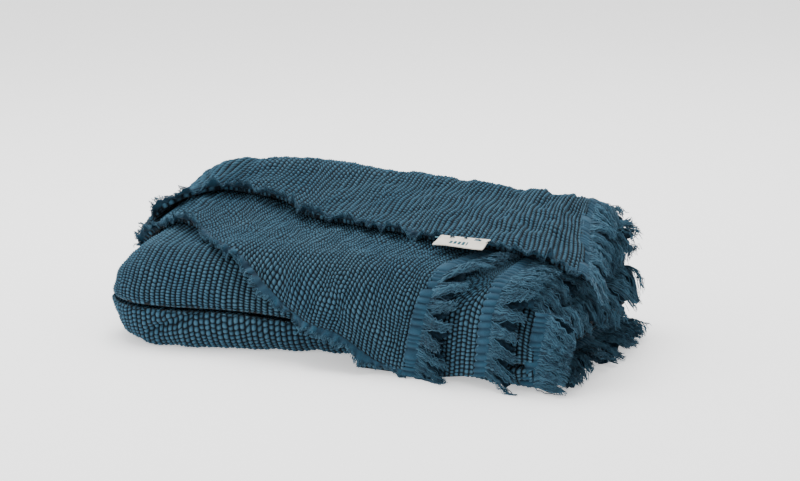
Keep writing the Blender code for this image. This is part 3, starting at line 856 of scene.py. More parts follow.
@dataclass
class FringedEnd:
    """A smooth header band with a crinkled, clumped fringe, past the end of a woven ply.

    `lay(out, w)` gives the point `out` metres past the weave at share w along the end.
    """

    stem: str
    lay: Callable[[Array, Array], Array]
    length: float
    header: float = 0.0098
    fringe: float = 0.0430
    pleat: float = 0.0165
    pleat_height: float = 0.0034
    crease: float = 0.0072
    density: float = 2600.0
    radius: float = 0.00062
    seed: int = 5
    lift: float = 0.0
    curl: float = 0.004
    stagger: float = 0.006
    droop: float = 0.0
    sag: float = 0.012
    billow: float = 0.0
    billow_size: float = 0.045
    band_thickness: float = 0.0016
    mat_thickness: float = 0.0022
    mat_reach: float = 0.66
    gather: float = 0.62
    lock_lean: float = 0.012
    root_tuck: float = 0.0045
    thread_points: int = 11
    in_frame: bool = True
    own_sheet: bool = False
    body: str = "pack"

    @property
    def reach(self) -> float:
        """Header and fringe together."""
        return self.header + self.fringe

    @property
    def surface(self) -> Surface:
        """The end as a surface of shares out and along."""
        return Surface(lambda u, w: self.lay(u * self.reach, w), step=0.01)

    def swell(self, out: Array, w: Array) -> Array:
        """Big soft folds of the end, none where it leaves the weave.

        Args: out: distance past the weave; w: share across the piece.
        Returns: height in metres.
        """
        s = w * self.length
        wave = Ripples(self.seed + 9, self.billow_size, 5)(s, 0.0 * s)
        return self.billow * wave * smooth(out / self.reach)

    def pleats(self, w: Array) -> Array:
        """Swell of the gathered header between two gathers, 0 to 1.

        Args: w: share across the piece.
        Returns: share for each w.
        """
        s = w * self.length
        phase = s / self.crease + 0.60 * Ripples(self.seed + 3, 0.03)(s, 0.0 * s)
        return np.abs(np.sin(math.pi * phase)) ** 0.50

    def build_header(self, material: bpy.types.Material) -> bpy.types.Object:
        """The gathered band.

        Args: material: its finish.
        Returns: the band.
        """
        span = self.header / self.reach
        tuck = 0.004 / self.reach

        def top(u: Array, w: Array) -> Array:
            """Upper face, pleated, flat again at the fringe.

            Args: u: share along the piece; w: share across the piece.
            Returns: height in metres.
            """
            rise = np.sin(np.clip(0.15 + 0.85 * u, 0, 1) * math.pi) ** 0.7
            swell = self.swell(u * self.header, w)
            return self.lift + 0.0012 + self.pleat_height * self.pleats(w) * rise + swell

        def under(u: Array, w: Array) -> Array:
            """Lower face."""
            return top(u, w) - self.band_thickness

        band = Surface(lambda u, w: self.lay((u * (span + tuck) - tuck) * self.reach
                                             - 0.0022 * (1 - u) * self.pleats(w), w), 0.01)
        rows = max(12, int(self.length / 0.0011))
        # the map's second counter is the pleat swell, which the band finish turns into painted
        # shade in the creases
        return cloth_slab(self.stem + "_header_band", band, (10, rows), under, top, material,
                          lambda u, w: np.stack([u, self.pleats(w)], -1))

    def build_mat(self, material: bpy.types.Material) -> bpy.types.Object:
        """The matted layer of threads under the loose ones; its finish is painted shade.

        Args: material: its finish.
        Returns: the mat.
        """
        start, stop = self.header / self.reach * 0.8, self.mat_reach
        ragged = Ripples(self.seed + 17, 0.009, 6)

        def out_at(u: Array, w: Array) -> Array:
            """Distance out, with a ragged outer edge."""
            s = w * self.length
            return (mix(start, stop, u) + 0.07 * u * ragged(s, 0.0 * s)) * self.reach

        mat = Surface(lambda u, w: self.lay(out_at(u, w), w - 0.7 * self.sag * u / self.length),
                      0.01)
        streak = Ripples(self.seed + 8, 0.004, 9)

        def top(u: Array, w: Array) -> Array:
            """Upper face with streaks that run with the threads.

            Args: u: share along the piece; w: share across the piece.
            Returns: height in metres.
            """
            s = w * self.length
            body = 0.0016 * streak(s, u * 0.004) + 0.0004
            return self.lift + body - self.droop * u ** 2 + self.swell(
                mix(start, stop, u) * self.reach, w)

        def under(u: Array, w: Array) -> Array:
            """Lower face."""
            return top(u, w) - self.mat_thickness

        rows = max(12, int(self.length / 0.0014))
        return cloth_slab(self.stem + "_fringe_mat", mat, (12, rows), under, top, material)

    def build_threads(self, material: bpy.types.Material) -> bpy.types.Object:
        """The loose threads, wavy, clumped and curled at their tips.

        Args: material: its finish.
        Returns: the threads.
        """
        rng = np.random.default_rng(self.seed)
        count = int(self.density * self.length)
        t = np.linspace(0.0, 1.0, self.thread_points)[None, :]
        root = (np.arange(count) + rng.uniform(0, 1, count)) / count
        clump = (np.round(root * self.length / self.pleat
                          + rng.normal(0.0, 0.26, count)) * self.pleat) / self.length
        cell = np.round(clump * self.length / self.pleat).astype(int)
        lean = np.sin(cell * 12.9898 + self.seed) * self.lock_lean
        rise = (0.5 + 0.5 * np.sin(cell * 4.7 + 1.3 * self.seed)) * self.stagger
        long = (self.fringe + 0.002) * rng.uniform(0.78, 1.0, count)[:, None]
        long = long * (1.0 + 0.10 * np.sin(cell * 5.7)[:, None])
        gather = self.gather * np.sin(np.clip(t * 1.25, 0, 1) * math.pi / 2.0)
        w = mix(root[:, None], clump[:, None], gather) + (
            (lean[:, None] - self.sag) * t ** 1.5 / self.length)
        lock = np.random.default_rng(self.seed + 1).uniform(0, 1, (3, cell.max() + 2))[:, cell]
        turns = (2.8 + 2.2 * lock[0] + rng.normal(0, 0.15, count))[:, None]
        phase = (6.28 * lock[1:] + rng.normal(0, 0.45, (2, count)))[:, :, None]
        swing = rng.uniform(0.0009, 0.0022, count)[:, None] * (0.45 + 0.7 * t)
        w = w + swing * np.sin(2.0 * math.pi * turns * t + phase[0]) / self.length
        tip = 0.35 * rng.normal(0.0, 1.0, count) + 0.65 * np.sin(cell * 9.1)
        tip = tip[:, None] * self.curl
        layer = rng.uniform(0.0006, 0.0046, count)[:, None]
        bulk = 0.35 + 0.65 * np.sin(np.clip(t * 1.6, 0, 1) * 1.57)
        height = (self.lift + rise[:, None] * smooth(t * 1.2) + layer * bulk
                  + swing * 0.8 * np.sin(2.0 * math.pi * turns * 0.8 * t + phase[1])
                  + tip * t ** 3 - self.droop * t ** 2)
        short = 1.0 - 0.10 * t * rng.uniform(0, 1, (count, 1))
        out = self.header - self.root_tuck + long * t * short
        height = height + self.swell(out, w)
        normal = self.surface.normal(out / self.reach, w)
        paths = self.lay(out, w) + normal * height[..., None]
        paths[..., 2] = np.maximum(paths[..., 2], 0.0007)
        return thread_bundle(self.stem + "_fringe_threads", paths, self.radius, material)

    def build(self, finishes: Finishes) -> list[bpy.types.Object]:
        """Header, mat and threads, riding on the end's body.

        Args: finishes: the shared finishes.
        Returns: the pieces.
        """
        header = self.build_header(finishes.band)
        mat = self.build_mat(finishes.mat)
        loose = self.build_threads(finishes.thread)
        for piece in (header, mat, loose):
            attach(piece, self.body)
        if self.in_frame:
            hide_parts(self.stem + "_header")
            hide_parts(self.stem + "_fringe")
        if self.own_sheet:
            round(self.header + 0.004, 4)
        LOG.info("%s: header and %d threads", self.stem, int(self.density * self.length))
        return [header, mat, loose]


# --- plies ---------------------------------------------------------------------------------
@dataclass
class Ply:
    """A woven ply cut by a ruffled selvedge in front and a fringed end at the right."""

    form: Bundle
    finishes: Finishes
    stem: str
    node: str
    selvedge: list
    end: list
    lift: float
    body: str
    inner: bool = False
    back: float = 0.150
    band: float = 0.0074
    ruffle: float = 0.0052
    ribs: int = 64
    bead_rows: int = 84
    lean: float = 0.0
    rear_lean: float = 0.0
    crimp: float = 0.0008
    seed: int = 1

    def __post_init__(self) -> None:
        """Tabulate both cut edges."""
        front = Route(self.selvedge).dots
        self.front_x, self.front_y = front[:, 0], front[:, 1]
        side = Route(self.end).dots
        self.end_x, self.end_y = side[:, 0], side[:, 1]
        self.length = Route(self.selvedge).length

    def flat(self, u: Array, v: Array) -> tuple[Array, Array]:
        """Flat cloth point at share u along the selvedge and share v towards the back.

        Args: u: share along the piece; v: share towards the back.
        Returns: across and back distances.
        """
        u, v = np.broadcast_arrays(np.asarray(u, float), np.asarray(v, float))
        x0, x1 = self.front_x[0], self.front_x[-1]
        y0, y1 = self.front_y[0], self.front_y[-1]
        far = self.end_x[-1]
        fx = mix(x0, x1, u)
        fy = np.interp(fx, self.front_x, self.front_y)
        ey = mix(y1, self.back, v)
        ex = np.interp(ey, self.end_y, self.end_x)
        rear = mix(x0, far, u)
        bx = mix(x0, x1, u) * (1 - v) + mix(x0, far, u) * v
        by = mix(y0, y1, u) * (1 - v) + self.back * v
        x = fx * (1 - v) + rear * v + x0 * (1 - u) + ex * u - bx
        y = fy * (1 - v) + self.back * v + mix(y0, self.back, v) * (1 - u) + ey * u - by
        inside = np.clip(v, 0.0, 1.0)
        bow = np.sin(math.pi * np.clip(u, 0, 1)) ** 0.7
        sway = (self.lean * inside * (1 - inside) ** 3 + self.rear_lean * inside) * bow
        wander = 0.0016 * Ripples(self.seed + 50, 0.040)(x, y) * np.sin(
            math.pi * np.clip(u, 0, 1)) ** 0.4 * smooth(v / 0.05)
        return x + sway + wander, y

    def depth(self, u: Array) -> Array:
        """Length of a rib from the selvedge to the back."""
        near, far = self.flat(u, 0.0 * u), self.flat(u, 0.0 * u + 1.0)
        return np.hypot(far[0] - near[0], far[1] - near[1])

    def placed(self, x: Array, y: Array) -> Array:
        """Middle of the ply over a flat cloth point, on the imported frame."""
        lift = self.lift + (self.form.inner_height(x, y) if self.inner else 0.0)
        return self.form.on_frame(self.form.wrapped(x, y, lift))

    def start(self, u: Array) -> Array:
        """Share v where the weave starts behind the smooth band."""
        return (self.band - 0.002) / self.depth(u)

    def weave_surface(self) -> Surface:
        """The woven area."""
        def rule(u: Array, w: Array) -> Array:
            """Point at shares along and in."""
            first = self.start(u)
            return self.placed(*self.flat(u, first + (1.0 - first) * w))
        return Surface(rule, 0.004)

    def counters(self, u: Array, w: Array) -> Array:
        """Rib and bead counters.

        Args: u: share along the piece; w: share across the piece.
        Returns: a pair for each point.
        """
        weave = self.finishes.weave
        s, d = u * self.length, w * self.depth(u)
        bead = d / weave.bead + weave.crowding(s, d, self.seed)
        return np.stack([u * self.ribs, bead], axis=-1)

    def loft(self, u: Array, w: Array) -> Array:
        """Slow unevenness of the laid cloth, in metres.

        Args: u: share along the piece; w: share across the piece.
        Returns: height in metres.
        """
        s, d = u * self.length, w * self.depth(u)
        puff = 0.0011 * Ripples(self.seed + 20, 0.055)(s, d)
        crimp = self.crimp * smooth((u - 0.55) / 0.4) * Ripples(self.seed + 22, 0.026)(s, d)
        return puff + 0.0007 * Ripples(self.seed + 21, 0.022)(s, d) + crimp

    def build_weave(self) -> bpy.types.Object:
        """The relief of the beads."""
        weave = self.finishes.weave

        def high(u: Array, w: Array) -> Array:
            """Bead crowns over the slab.

            Args: u: share along the piece; w: share across the piece.
            Returns: height in metres.
            """
            pair = self.counters(u, w)
            rim = np.minimum.reduce([w * 60.0, (1 - w) * 60.0, u * 150.0, (1 - u) * 150.0])
            rim = np.clip(rim, 0.0, 1.0)
            beads = weave.height * weave.relief(pair[..., 0], pair[..., 1])
            return mix(RIM_DIP, BEAD_BASE + self.loft(u, w) + beads, rim)

        size = (self.ribs * weave.rib_samples, self.bead_rows * weave.bead_samples)
        return cloth_skin(self.stem + "_weave", self.weave_surface(), size, high,
                          self.finishes.cotton, self.counters)

    def build_slab(self) -> bpy.types.Object:
        """The cloth's body under its beads."""
        def high(u: Array, w: Array) -> Array:
            """Upper face, under the beads."""
            return SLAB_TOP + self.loft(u, w)

        def low(u: Array, w: Array) -> Array:
            """Plain under face."""
            return SLAB_BOTTOM + 0.6 * self.loft(u, w)

        return cloth_slab(self.stem + "_cloth", self.weave_surface(), (96, 72), low, high,
                          self.finishes.cotton, self.counters)

    def edge_height(self, u: Array, w: Array) -> Array:
        """Ruffle of the band, all at its free edge.

        Args: u: share along the piece; w: share across the piece.
        Returns: height in metres.
        """
        s = u * self.length
        free = (1.0 - w) ** 1.4
        wave = Ripples(self.seed + 30, 0.030, 5)(s, 0.0 * s)
        small = Ripples(self.seed + 31, 0.008, 5)(s, 0.0 * s)
        nap = Ripples(self.seed + 32, 0.004, 5)(s, w * self.band)
        return (0.0022 + free * self.ruffle * (0.85 * wave + 0.70 * small + 0.35)
                + 0.0009 * nap)

    def edge_surface(self) -> Surface:
        """The smooth band along the selvedge, wandering a little at its free edge."""
        def rule(u: Array, w: Array) -> Array:
            """Point at shares along and in from the free edge.

            Args: u: share along the piece; w: share across the piece.
            Returns: points on the frame.
            """
            s = u * self.length
            wander = 0.0026 * Ripples(self.seed + 33, 0.020, 5)(s, 0.0 * s) * (1.0 - w)
            return self.placed(*self.flat(u, (self.band * w + wander) / self.depth(u)))
        return Surface(rule, 0.004)

    def build_edge(self) -> bpy.types.Object:
        """The ruffled band."""
        def high(u: Array, w: Array) -> Array:
            """Upper face."""
            return self.edge_height(u, w) + 0.0011 * np.sin(math.pi * np.clip(w, 0, 1)) ** 0.5

        def low(u: Array, w: Array) -> Array:
            """Lower face."""
            return self.edge_height(u, w) - 0.0012

        def folds(u: Array, w: Array) -> Array:
            """Place across the band, and painted light on the ruffle's high places, painted shade
            in its troughs.
            """
            # painted light and shade: the same small wave as the ruffle's height, lighter high and
            # darker low
            painted_ruffle_light = 0.62 + 0.45 * Ripples(self.seed + 31, 0.008, 5)(u * self.length, 0.0 * u)
            return np.stack([w, np.clip(painted_ruffle_light, 0.1, 1.0)], axis=-1)

        return cloth_slab(self.stem + "_selvedge_band", self.edge_surface(),
                          (int(self.length / 0.0011), 10), low, high, self.finishes.band, folds)

    def build_fuzz(self) -> bpy.types.Object:
        """Short weft loops that stand out of the free edge."""
        rng = np.random.default_rng(self.seed + 40)
        count, points = int(self.length / 0.00045), 5
        t = np.linspace(0.0, 1.0, points)[None, :]
        u = ((np.arange(count) + rng.uniform(0, 1, count)) / count)[:, None]
        s = u * self.length
        turn = rng.uniform(0.6, 2.6, count)[:, None]
        ends = smooth(u / 0.06) * smooth((1.0 - u) / 0.03)
        reach = rng.uniform(0.0010, 0.0034, count)[:, None] * mix(0.3, 1.0, ends)
        root = rng.uniform(0.0, 0.55, count)[:, None] ** 1.5
        side = rng.normal(0.0, 0.0016, count)[:, None]
        surface = self.edge_surface()
        along = u + (side * np.sin(turn * t * 2.0)) / self.length
        out = root - reach * np.sin(t * math.pi * 0.8) / self.band
        height = self.edge_height(along, out) + 0.0012 + reach * 0.6 * np.sin(turn * t * 2.2)
        paths = surface.raised(along, out, height)
        paths[..., 2] = np.maximum(paths[..., 2], 0.0008)
        return thread_bundle(self.stem + "_edge_fuzz", paths, 0.00042, self.finishes.thread)

    def end_lay(self, out: Array, v: Array) -> Array:
        """Point `out` metres past the fringed end at share v from the selvedge to the back.

        Args: out: distance past the weave; v: share towards the back.
        Returns: points on the frame.
        """
        out, v = np.broadcast_arrays(np.asarray(out, float), np.asarray(v, float))
        ex, ey = self.flat(1.0 + 0.0 * v, v)
        px, py = self.flat(0.985 + 0.0 * v, v)
        size = np.hypot(ex - px, ey - py)
        return self.placed(ex + (ex - px) / size * out, ey + (ey - py) / size * out)

    def fringed_end(self, **changes: float) -> FringedEnd:
        """The ply's header and fringe; `changes` are its other sizes."""
        return FringedEnd(self.stem, self.end_lay, Route(self.end).length, lift=0.0006,
                          body=self.body, **changes)

    def build(self, flat_size: tuple[float, float], area: float, **fringe: float) -> None:
        """Args:
            flat_size: width and length of the whole cloth, in metres; not used.
            area: flat area of this ply; not used.
            fringe: changes to the fringed end.
        """
        slab, skin, edge, fuzz = (self.build_slab(), self.build_weave(), self.build_edge(),
                                  self.build_fuzz())
        for piece, slot in ((slab, "weave"), (skin, "weave"), (edge, "band"), (fuzz, "fringe")):
            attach(piece, self.body)
        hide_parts(self.node)
        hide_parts(self.stem + "_selvedge")
        trims = self.fringed_end(**fringe).build(self.finishes)
        LOG.info("%s ply laid", self.stem)


# --- folded runs ---------------------------------------------------------------------------
class Fold(Enum):
    """Which of the two folded runs."""

    LOWER = "lower_run"
    MIDDLE = "middle_run"


@dataclass
class Run:
    """One folded run: a long pillow of cloth, rounded at its left, front and back folds."""

    form: Bundle
    finishes: Finishes
    fold: Fold
    side_radius: float
    back_radius: float
    end_radius: float
    lip_depth: float = 0.012
    lip_drop: float = 0.0010
    rim: float = 0.0004
    groove: float = 0.0030
    branch_depth: float = 0.0
    end_share: float = 0.20
    fill: float = 0.6
    ribs: int = 90
    rows: tuple = (66, 60, 20, 14, 6, 6, 10)
    seed: int = 60

    def place_x(self, u: Array) -> Array:
        """Distance from the left fold at share u, even over the rounded end.

        Args: u: share along the piece.
        Returns: distance in metres.
        """
        turn = np.clip(u / self.end_share, 0.0, 1.0) * math.pi / 2.0
        rounded = self.end_radius * (1.0 - np.cos(turn))
        straight = np.clip((u - self.end_share) / (1.0 - self.end_share), 0.0, None)
        return rounded + straight * (self.form.run_length - self.end_radius)

    def ring(self, p: Array, width: Array) -> tuple[Array, Array]:
        """Distance from the front fold, and which points are on the big face.

        Args:
            p: place round the section, in zones 0 to 7.
            width: distance between the front and the back folds.
        Returns:
            Inset, and 1 on the big face or 0 on the lip face.
        """
        quarter = math.pi / 2.0
        front, back, lip = self.side_radius, self.back_radius, self.lip_depth
        middle = width - front - back
        half = 0.45
        stops = [
            (p < 1, front * (1 - np.cos(np.clip(p, 0, 1) * quarter))),
            ((p >= 1) & (p < 2), front + middle * half * (p - 1)),
            ((p >= 2) & (p < 3), front + middle * (half + (1 - half) * (p - 2))),
            ((p >= 3) & (p < 4), width - back * (1 - np.cos(np.clip(4 - p, 0, 1) * quarter))),
            ((p >= 4) & (p < 5), width - lip * (1 - np.cos(np.clip(p - 4, 0, 1) * quarter))),
            ((p >= 5) & (p < 6), mix(width - lip, lip, p - 5)),
            (p >= 6, lip * (1 - np.cos(np.clip(7 - p, 0, 1) * quarter)))]
        inset = np.select([s[0] for s in stops], [s[1] for s in stops])
        return inset, (p < 4).astype(float)

    def point(self, u: Array, p: Array) -> Array:
        """Point of the run's skin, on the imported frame.

        Args: u: share along the piece; p: place round the section, 0 to 7.
        Returns: points on the frame.
        """
        form = self.form
        u, p = np.broadcast_arrays(np.asarray(u, float), np.asarray(p, float))
        inset_x = self.place_x(np.clip(u, 0.0, None))
        x = form.left_x + inset_x
        near, far = form.front_line(x), form.back_line(x)
        inset_y, big = self.ring(p, far - near)
        y = near + inset_y
        inset_back = far - y
        whole = (quarter_round(inset_x, self.end_radius) * quarter_round(inset_y, self.side_radius)
                 * quarter_round(inset_back, self.back_radius))
        lip = (quarter_round(inset_x, self.lip_depth) * quarter_round(inset_y, self.lip_depth)
               * quarter_round(inset_back, self.lip_depth))
        crease = form.crease(x)
        if self.fold is Fold.MIDDLE:
            tip = crease + form.gap + self.lip_drop + self.rim
            outer = tip + (form.stack_top(x, y) - tip) * whole
            inner = crease + form.gap + self.lip_drop * (1.0 - lip)
        else:
            outer = (crease - self.lip_drop - self.rim) * (1.0 - whole)
            inner = crease - self.lip_drop * (1.0 - lip)
        z = np.where(big > 0.5, outer, inner)
        share = inset_x / form.run_length
        return form.on_frame(stack3(x + form.end_skew * y * share, y, z))

    def branch_share(self, points: Array) -> Array:
        """Share of the short slanting crease near the left fold, 1 along its middle.

        Args: points: points, three numbers each.
        Returns: share for each point.
        """
        start, stop = np.array([-0.228, 0.012]), np.array([-0.148, 0.046])
        line = stop - start
        spot = points[..., [0, 2]] - start
        along = np.clip((spot @ line) / (line @ line), 0.0, 1.0)
        off = np.linalg.norm(spot - along[..., None] * line, axis=-1)
        return np.exp(-(off / 0.0050) ** 2) * smooth(along / 0.35)

    def rows_at(self) -> Array:
        """Places round the section of each mesh row."""
        places = [np.linspace(k, k + 1, n, endpoint=False) for k, n in enumerate(self.rows)]
        return np.concatenate(places + [np.array([7.0])])

    def build(self) -> bpy.types.Object:
        weave = self.finishes.weave
        places = self.rows_at()
        rows = len(places) - 1
        middle = self.point(0.55, places)
        run = np.concatenate([[0.0], np.cumsum(np.linalg.norm(np.diff(middle, axis=0), axis=1))])
        sign = 1.0 if self.fold is Fold.MIDDLE else -1.0

        def at(w: Array) -> Array:
            """Place round the section from a share of the mesh rows."""
            return np.interp(w * rows, np.arange(rows + 1), places)

        surface = Surface(lambda u, w: self.point(u, at(w)), 0.004)

        def counters(u: Array, w: Array) -> Array:
            """Rib and bead counters.

            Args: u: share along the piece; w: share across the piece.
            Returns: a pair for each point.
            """
            d = np.interp(w * rows, np.arange(rows + 1), run)
            s = u * self.ribs * weave.rib
            return np.stack([u * self.ribs, d / weave.bead + weave.crowding(s, d, self.seed)], -1)

        def high(u: Array, w: Array) -> Array:
            """Bead crowns, fading at the left fold line and the cut end.

            Args: u: share along the piece; w: share across the piece.
            Returns: height in metres.
            """
            pair = counters(u, w)
            place = at(w)
            s, d = u * 0.55, np.interp(w * rows, np.arange(rows + 1), run)
            fade = smooth(u / 0.02) * smooth((1.0 - u) / 0.01)
            seam = smooth(place / 0.04) * smooth((7.0 - place) / 0.3)
            relief = weave.height * weave.relief(pair[..., 0], pair[..., 1]) - 0.0016
            sag = 0.0012 * Ripples(self.seed + 4, 0.05)(s, d)
            fold = np.where(place < 3.5, place, np.where(place < 4.0, 4.0 - place, 0.0))
            branch = self.branch_depth * self.branch_share(surface.rule(u, w)) * (place < 1.2)
            pinch = branch + self.groove * (1.0 - smooth(fold / 0.07)) * smooth((u - 0.01) / 0.06)
            return sign * (relief * fade * seam + sag * seam * fade - pinch)

        mesh, u, w, _ = unit_grid(self.ribs * weave.rib_samples, rows, thick=False)
        points = surface.raised(u, w, high(u, w))
        points[:, 2] = np.maximum(points[:, 2], FLOOR_REST)
        put_points(mesh, points, counters(u, w))
        if sign < 0:
            mesh.flip_normals()
        made = as_object(self.fold.value + "_cloth", mesh, self.finishes.cotton)
        first, last = np.flatnonzero(w < 1e-6), np.flatnonzero(w > 1.0 - 1e-6)
        self.close(mesh, first[np.argsort(u[first])], last[np.argsort(u[last])])
        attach(made, "pack")
        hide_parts(self.fold.value)
        LOG.info("%s: %d ribs", made.name, self.ribs)
        return made

    @staticmethod
    def close(mesh: bpy.types.Mesh, first: Array, last: Array) -> None:
        """Join the section's seam and the left fold line, and cap the cut end.

        Args:
            mesh: the run's mesh.
            first, last: vertices along the two sides of the seam, from left to right.
        """
        bm = bmesh.new()
        bm.from_mesh(mesh)
        bm.verts.ensure_lookup_table()
        joined = {bm.verts[int(b)]: bm.verts[int(a)] for a, b in zip(first, last)}
        bmesh.ops.weld_verts(bm, targetmap=joined)
        bmesh.ops.remove_doubles(bm, verts=bm.verts[:], dist=2e-5)
        rim = [edge for edge in bm.edges if edge.is_boundary]
        bmesh.ops.holes_fill(bm, edges=rim, sides=0)
        bm.to_mesh(mesh)
        bm.free()


# --- the rest ------------------------------------------------------------------------------
@dataclass
class Studio:
    """Camera, floor and lights."""

    azimuth: float = 22.0
    elevation: float = 13.0
    distance: float = 2.44
    focal: float = 99.8
    target: tuple = (0.030, -0.001, 0.112)
    lamps: tuple = (("key", (-0.35, 0.25, 2.0), 1.5, 52.0),
                    ("fill", (-1.3, -1.9, 1.3), 1.4, 16.0),
                    ("rim", (0.3, 1.8, 1.6), 1.4, 8.0))
    world_light: float = 1.25
    floor_glow: float = 0.58

    def build(self) -> None:
        """Place everything that isn't part of the throw."""
        turn, tilt = math.radians(self.azimuth), math.radians(self.elevation)
        away = Vector((math.sin(turn) * math.cos(tilt), -math.cos(turn) * math.cos(tilt),
                       math.sin(tilt)))
        camera = bpy.data.objects.new("camera", bpy.data.cameras.new("camera"))
        camera.data.lens = self.focal
        camera.data.sensor_width = 36.0
        camera.location = Vector(self.target) + away * self.distance
        camera.rotation_euler = (-away).to_track_quat("-Z", "Y").to_euler()
        bpy.context.scene.collection.objects.link(camera)
        bpy.context.scene.camera = camera
        self.floor()
        for lamp in self.lamps:
            self.lamp(*lamp)
        world = bpy.data.worlds.new("studio")
        world.use_nodes = True
        world.node_tree.nodes["Background"].inputs["Color"].default_value = (1, 1, 1, 1)
        world.node_tree.nodes["Background"].inputs["Strength"].default_value = self.world_light
        bpy.context.scene.world = world

    def floor(self) -> None:
        """A pale plain floor."""
        bm = bmesh.new()
        bmesh.ops.create_grid(bm, x_segments=1, y_segments=1, size=30.0)
        mesh = bpy.data.meshes.new("floor")
        bm.to_mesh(mesh)
        bm.free()
        desk = Desk("pale_floor")
        made = as_object("floor", mesh, desk.finish((0.95, 0.95, 0.95, 1.0), 0.9,
                                                     Emission_Color=(1.0, 1.0, 1.0, 1.0),
                                                     Emission_Strength=self.floor_glow))

    def lamp(self, name: str, place: tuple, size: float, power: float) -> None:
        """A square soft light that faces the throw.

        Args: name: its name; place: where it stands; size: faces each way, or the size in metres;
            power: watts.
        """
        light = bpy.data.lights.new(name, "AREA")
        light.energy, light.size = power, size
        made = bpy.data.objects.new(name, light)
        made.location = place
        made.rotation_euler = (Vector((0, 0, 0.08)) - Vector(place)).to_track_quat(
            "-Z", "Y").to_euler()
        bpy.context.scene.collection.objects.link(made)


@dataclass
class LabelTag:
    """Folded tape label sewn to the flap's selvedge, with two short stitches."""

    finishes: Finishes
    thickness: float = 0.0011

    def build(self) -> None:
        """Make the tape over its own frame node."""
        low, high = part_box("label")
        centre = (np.array(low) + np.array(high)) / 2.0
        width, depth = high[0] - low[0], high[1] - low[1]
        pitch = (high[2] - low[2] - self.thickness) / depth

        def rule(u: Array, w: Array) -> Array:
            """Point of the tape's middle.

            Args: u: share along the piece; w: share across the piece.
            Returns: points on the frame.
            """
            x = centre[0] + 0.007 + (u - 0.5) * width
            y = centre[1] + (w - 0.5) * depth
            z = centre[2] + 0.0012 + pitch * (y - centre[1])
            z = z + 0.0007 * np.sin(u * 5.0 + 0.6) * (1 - w) + 0.0004 * np.sin(w * 9 + u * 3)
            return stack3(x, y, z)

        half = self.thickness / 2.0
        tape = cloth_slab("label_tape", Surface(rule, 0.01), (36, 20),
                          lambda u, w: -half + 0.0 * u, lambda u, w: half + 0.0 * u,
                          self.finishes.tape, lambda u, w: np.stack([u, w], -1))
        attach(tape, "label")
        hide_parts("label")
        for name in ("label_stitch_left", "label_stitch_right"):
            node = bpy.data.objects.get(name)
            if node is not None:
                for slot in node.material_slots:
                    slot.material = self.finishes.sewing
        LOG.info("label sewn on")


@dataclass
class FrontPly:
    """The ply that hangs in front of the runs at the right, inside the draped ply's fringe.

    It comes over the front edge of the bundle, so its fringed end shows on the top as well.
    """

    form: Bundle
    finishes: Finishes
    left_share: float = 0.60
    right_share: float = 0.876
    bottom: float = -0.224
    top: float = -0.030
    top_left: float = 0.105
    ribs: int = 24
    lean: float = 0.10

    def lay(self, x: Array, w: Array) -> Array:
        """Point at distance x and share w from the floor over the front edge to the top.

        Args: x: distance along the bundle; w: share across the piece.
        Returns: points on the frame.
        """
        form = self.form
        back = mix(self.bottom, self.top, w)
        x = x + self.lean * (back - self.bottom)
        points = form.on_frame(form.wrapped(x, back, form.gap + form.ply / 2.0))
        return points + np.array([0.0, form.ply + 0.0005, 0.0])

    def build(self) -> None:
        weave = self.finishes.weave
        left, right = self.form.along(self.left_share), self.form.along(self.right_share)
        tall = self.top - self.bottom

        def rule(u: Array, w: Array) -> Array:
            """Point of the woven part, which is narrow on the top."""
            edge = mix(left, self.top_left, smooth((w - 0.35) / 0.2))
            return self.lay(mix(edge, right, u), w)

        surface = Surface(rule, 0.01)

        def counters(u: Array, w: Array) -> Array:
            """Rib and bead counters."""
            s, d = u * self.ribs * weave.rib, w * tall
            return np.stack([u * self.ribs, d / weave.bead + weave.crowding(s, d, 31)], -1)

        def high(u: Array, w: Array) -> Array:
            """Bead crowns.

            Args: u: share along the piece; w: share across the piece.
            Returns: height in metres.
            """
            pair = counters(u, w)
            rim = np.clip(np.minimum.reduce([w * 12, (1 - w) * 12, u * 20, (1 - u) * 40]), 0, 1)
            beads = weave.height * weave.relief(pair[..., 0], pair[..., 1])
            return mix(RIM_DIP, BEAD_BASE + beads, rim)

        slab = cloth_slab("second_cloth", surface, (24, 30), lambda u, w: SLAB_BOTTOM + 0 * u,
                          lambda u, w: SLAB_TOP + 0 * u, self.finishes.cotton, counters)
        skin = cloth_skin("second_weave", surface, (self.ribs * 4, 150), high,
                          self.finishes.cotton, counters)
        for piece in (slab, skin):
            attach(piece, "pack")
        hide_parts("second_ply")
        trims = FringedEnd("second", lambda out, w: self.lay(right + out, w), tall, seed=12,
                           fringe=0.042, curl=0.005, billow=0.004).build(self.finishes)
        LOG.info("second ply hung")


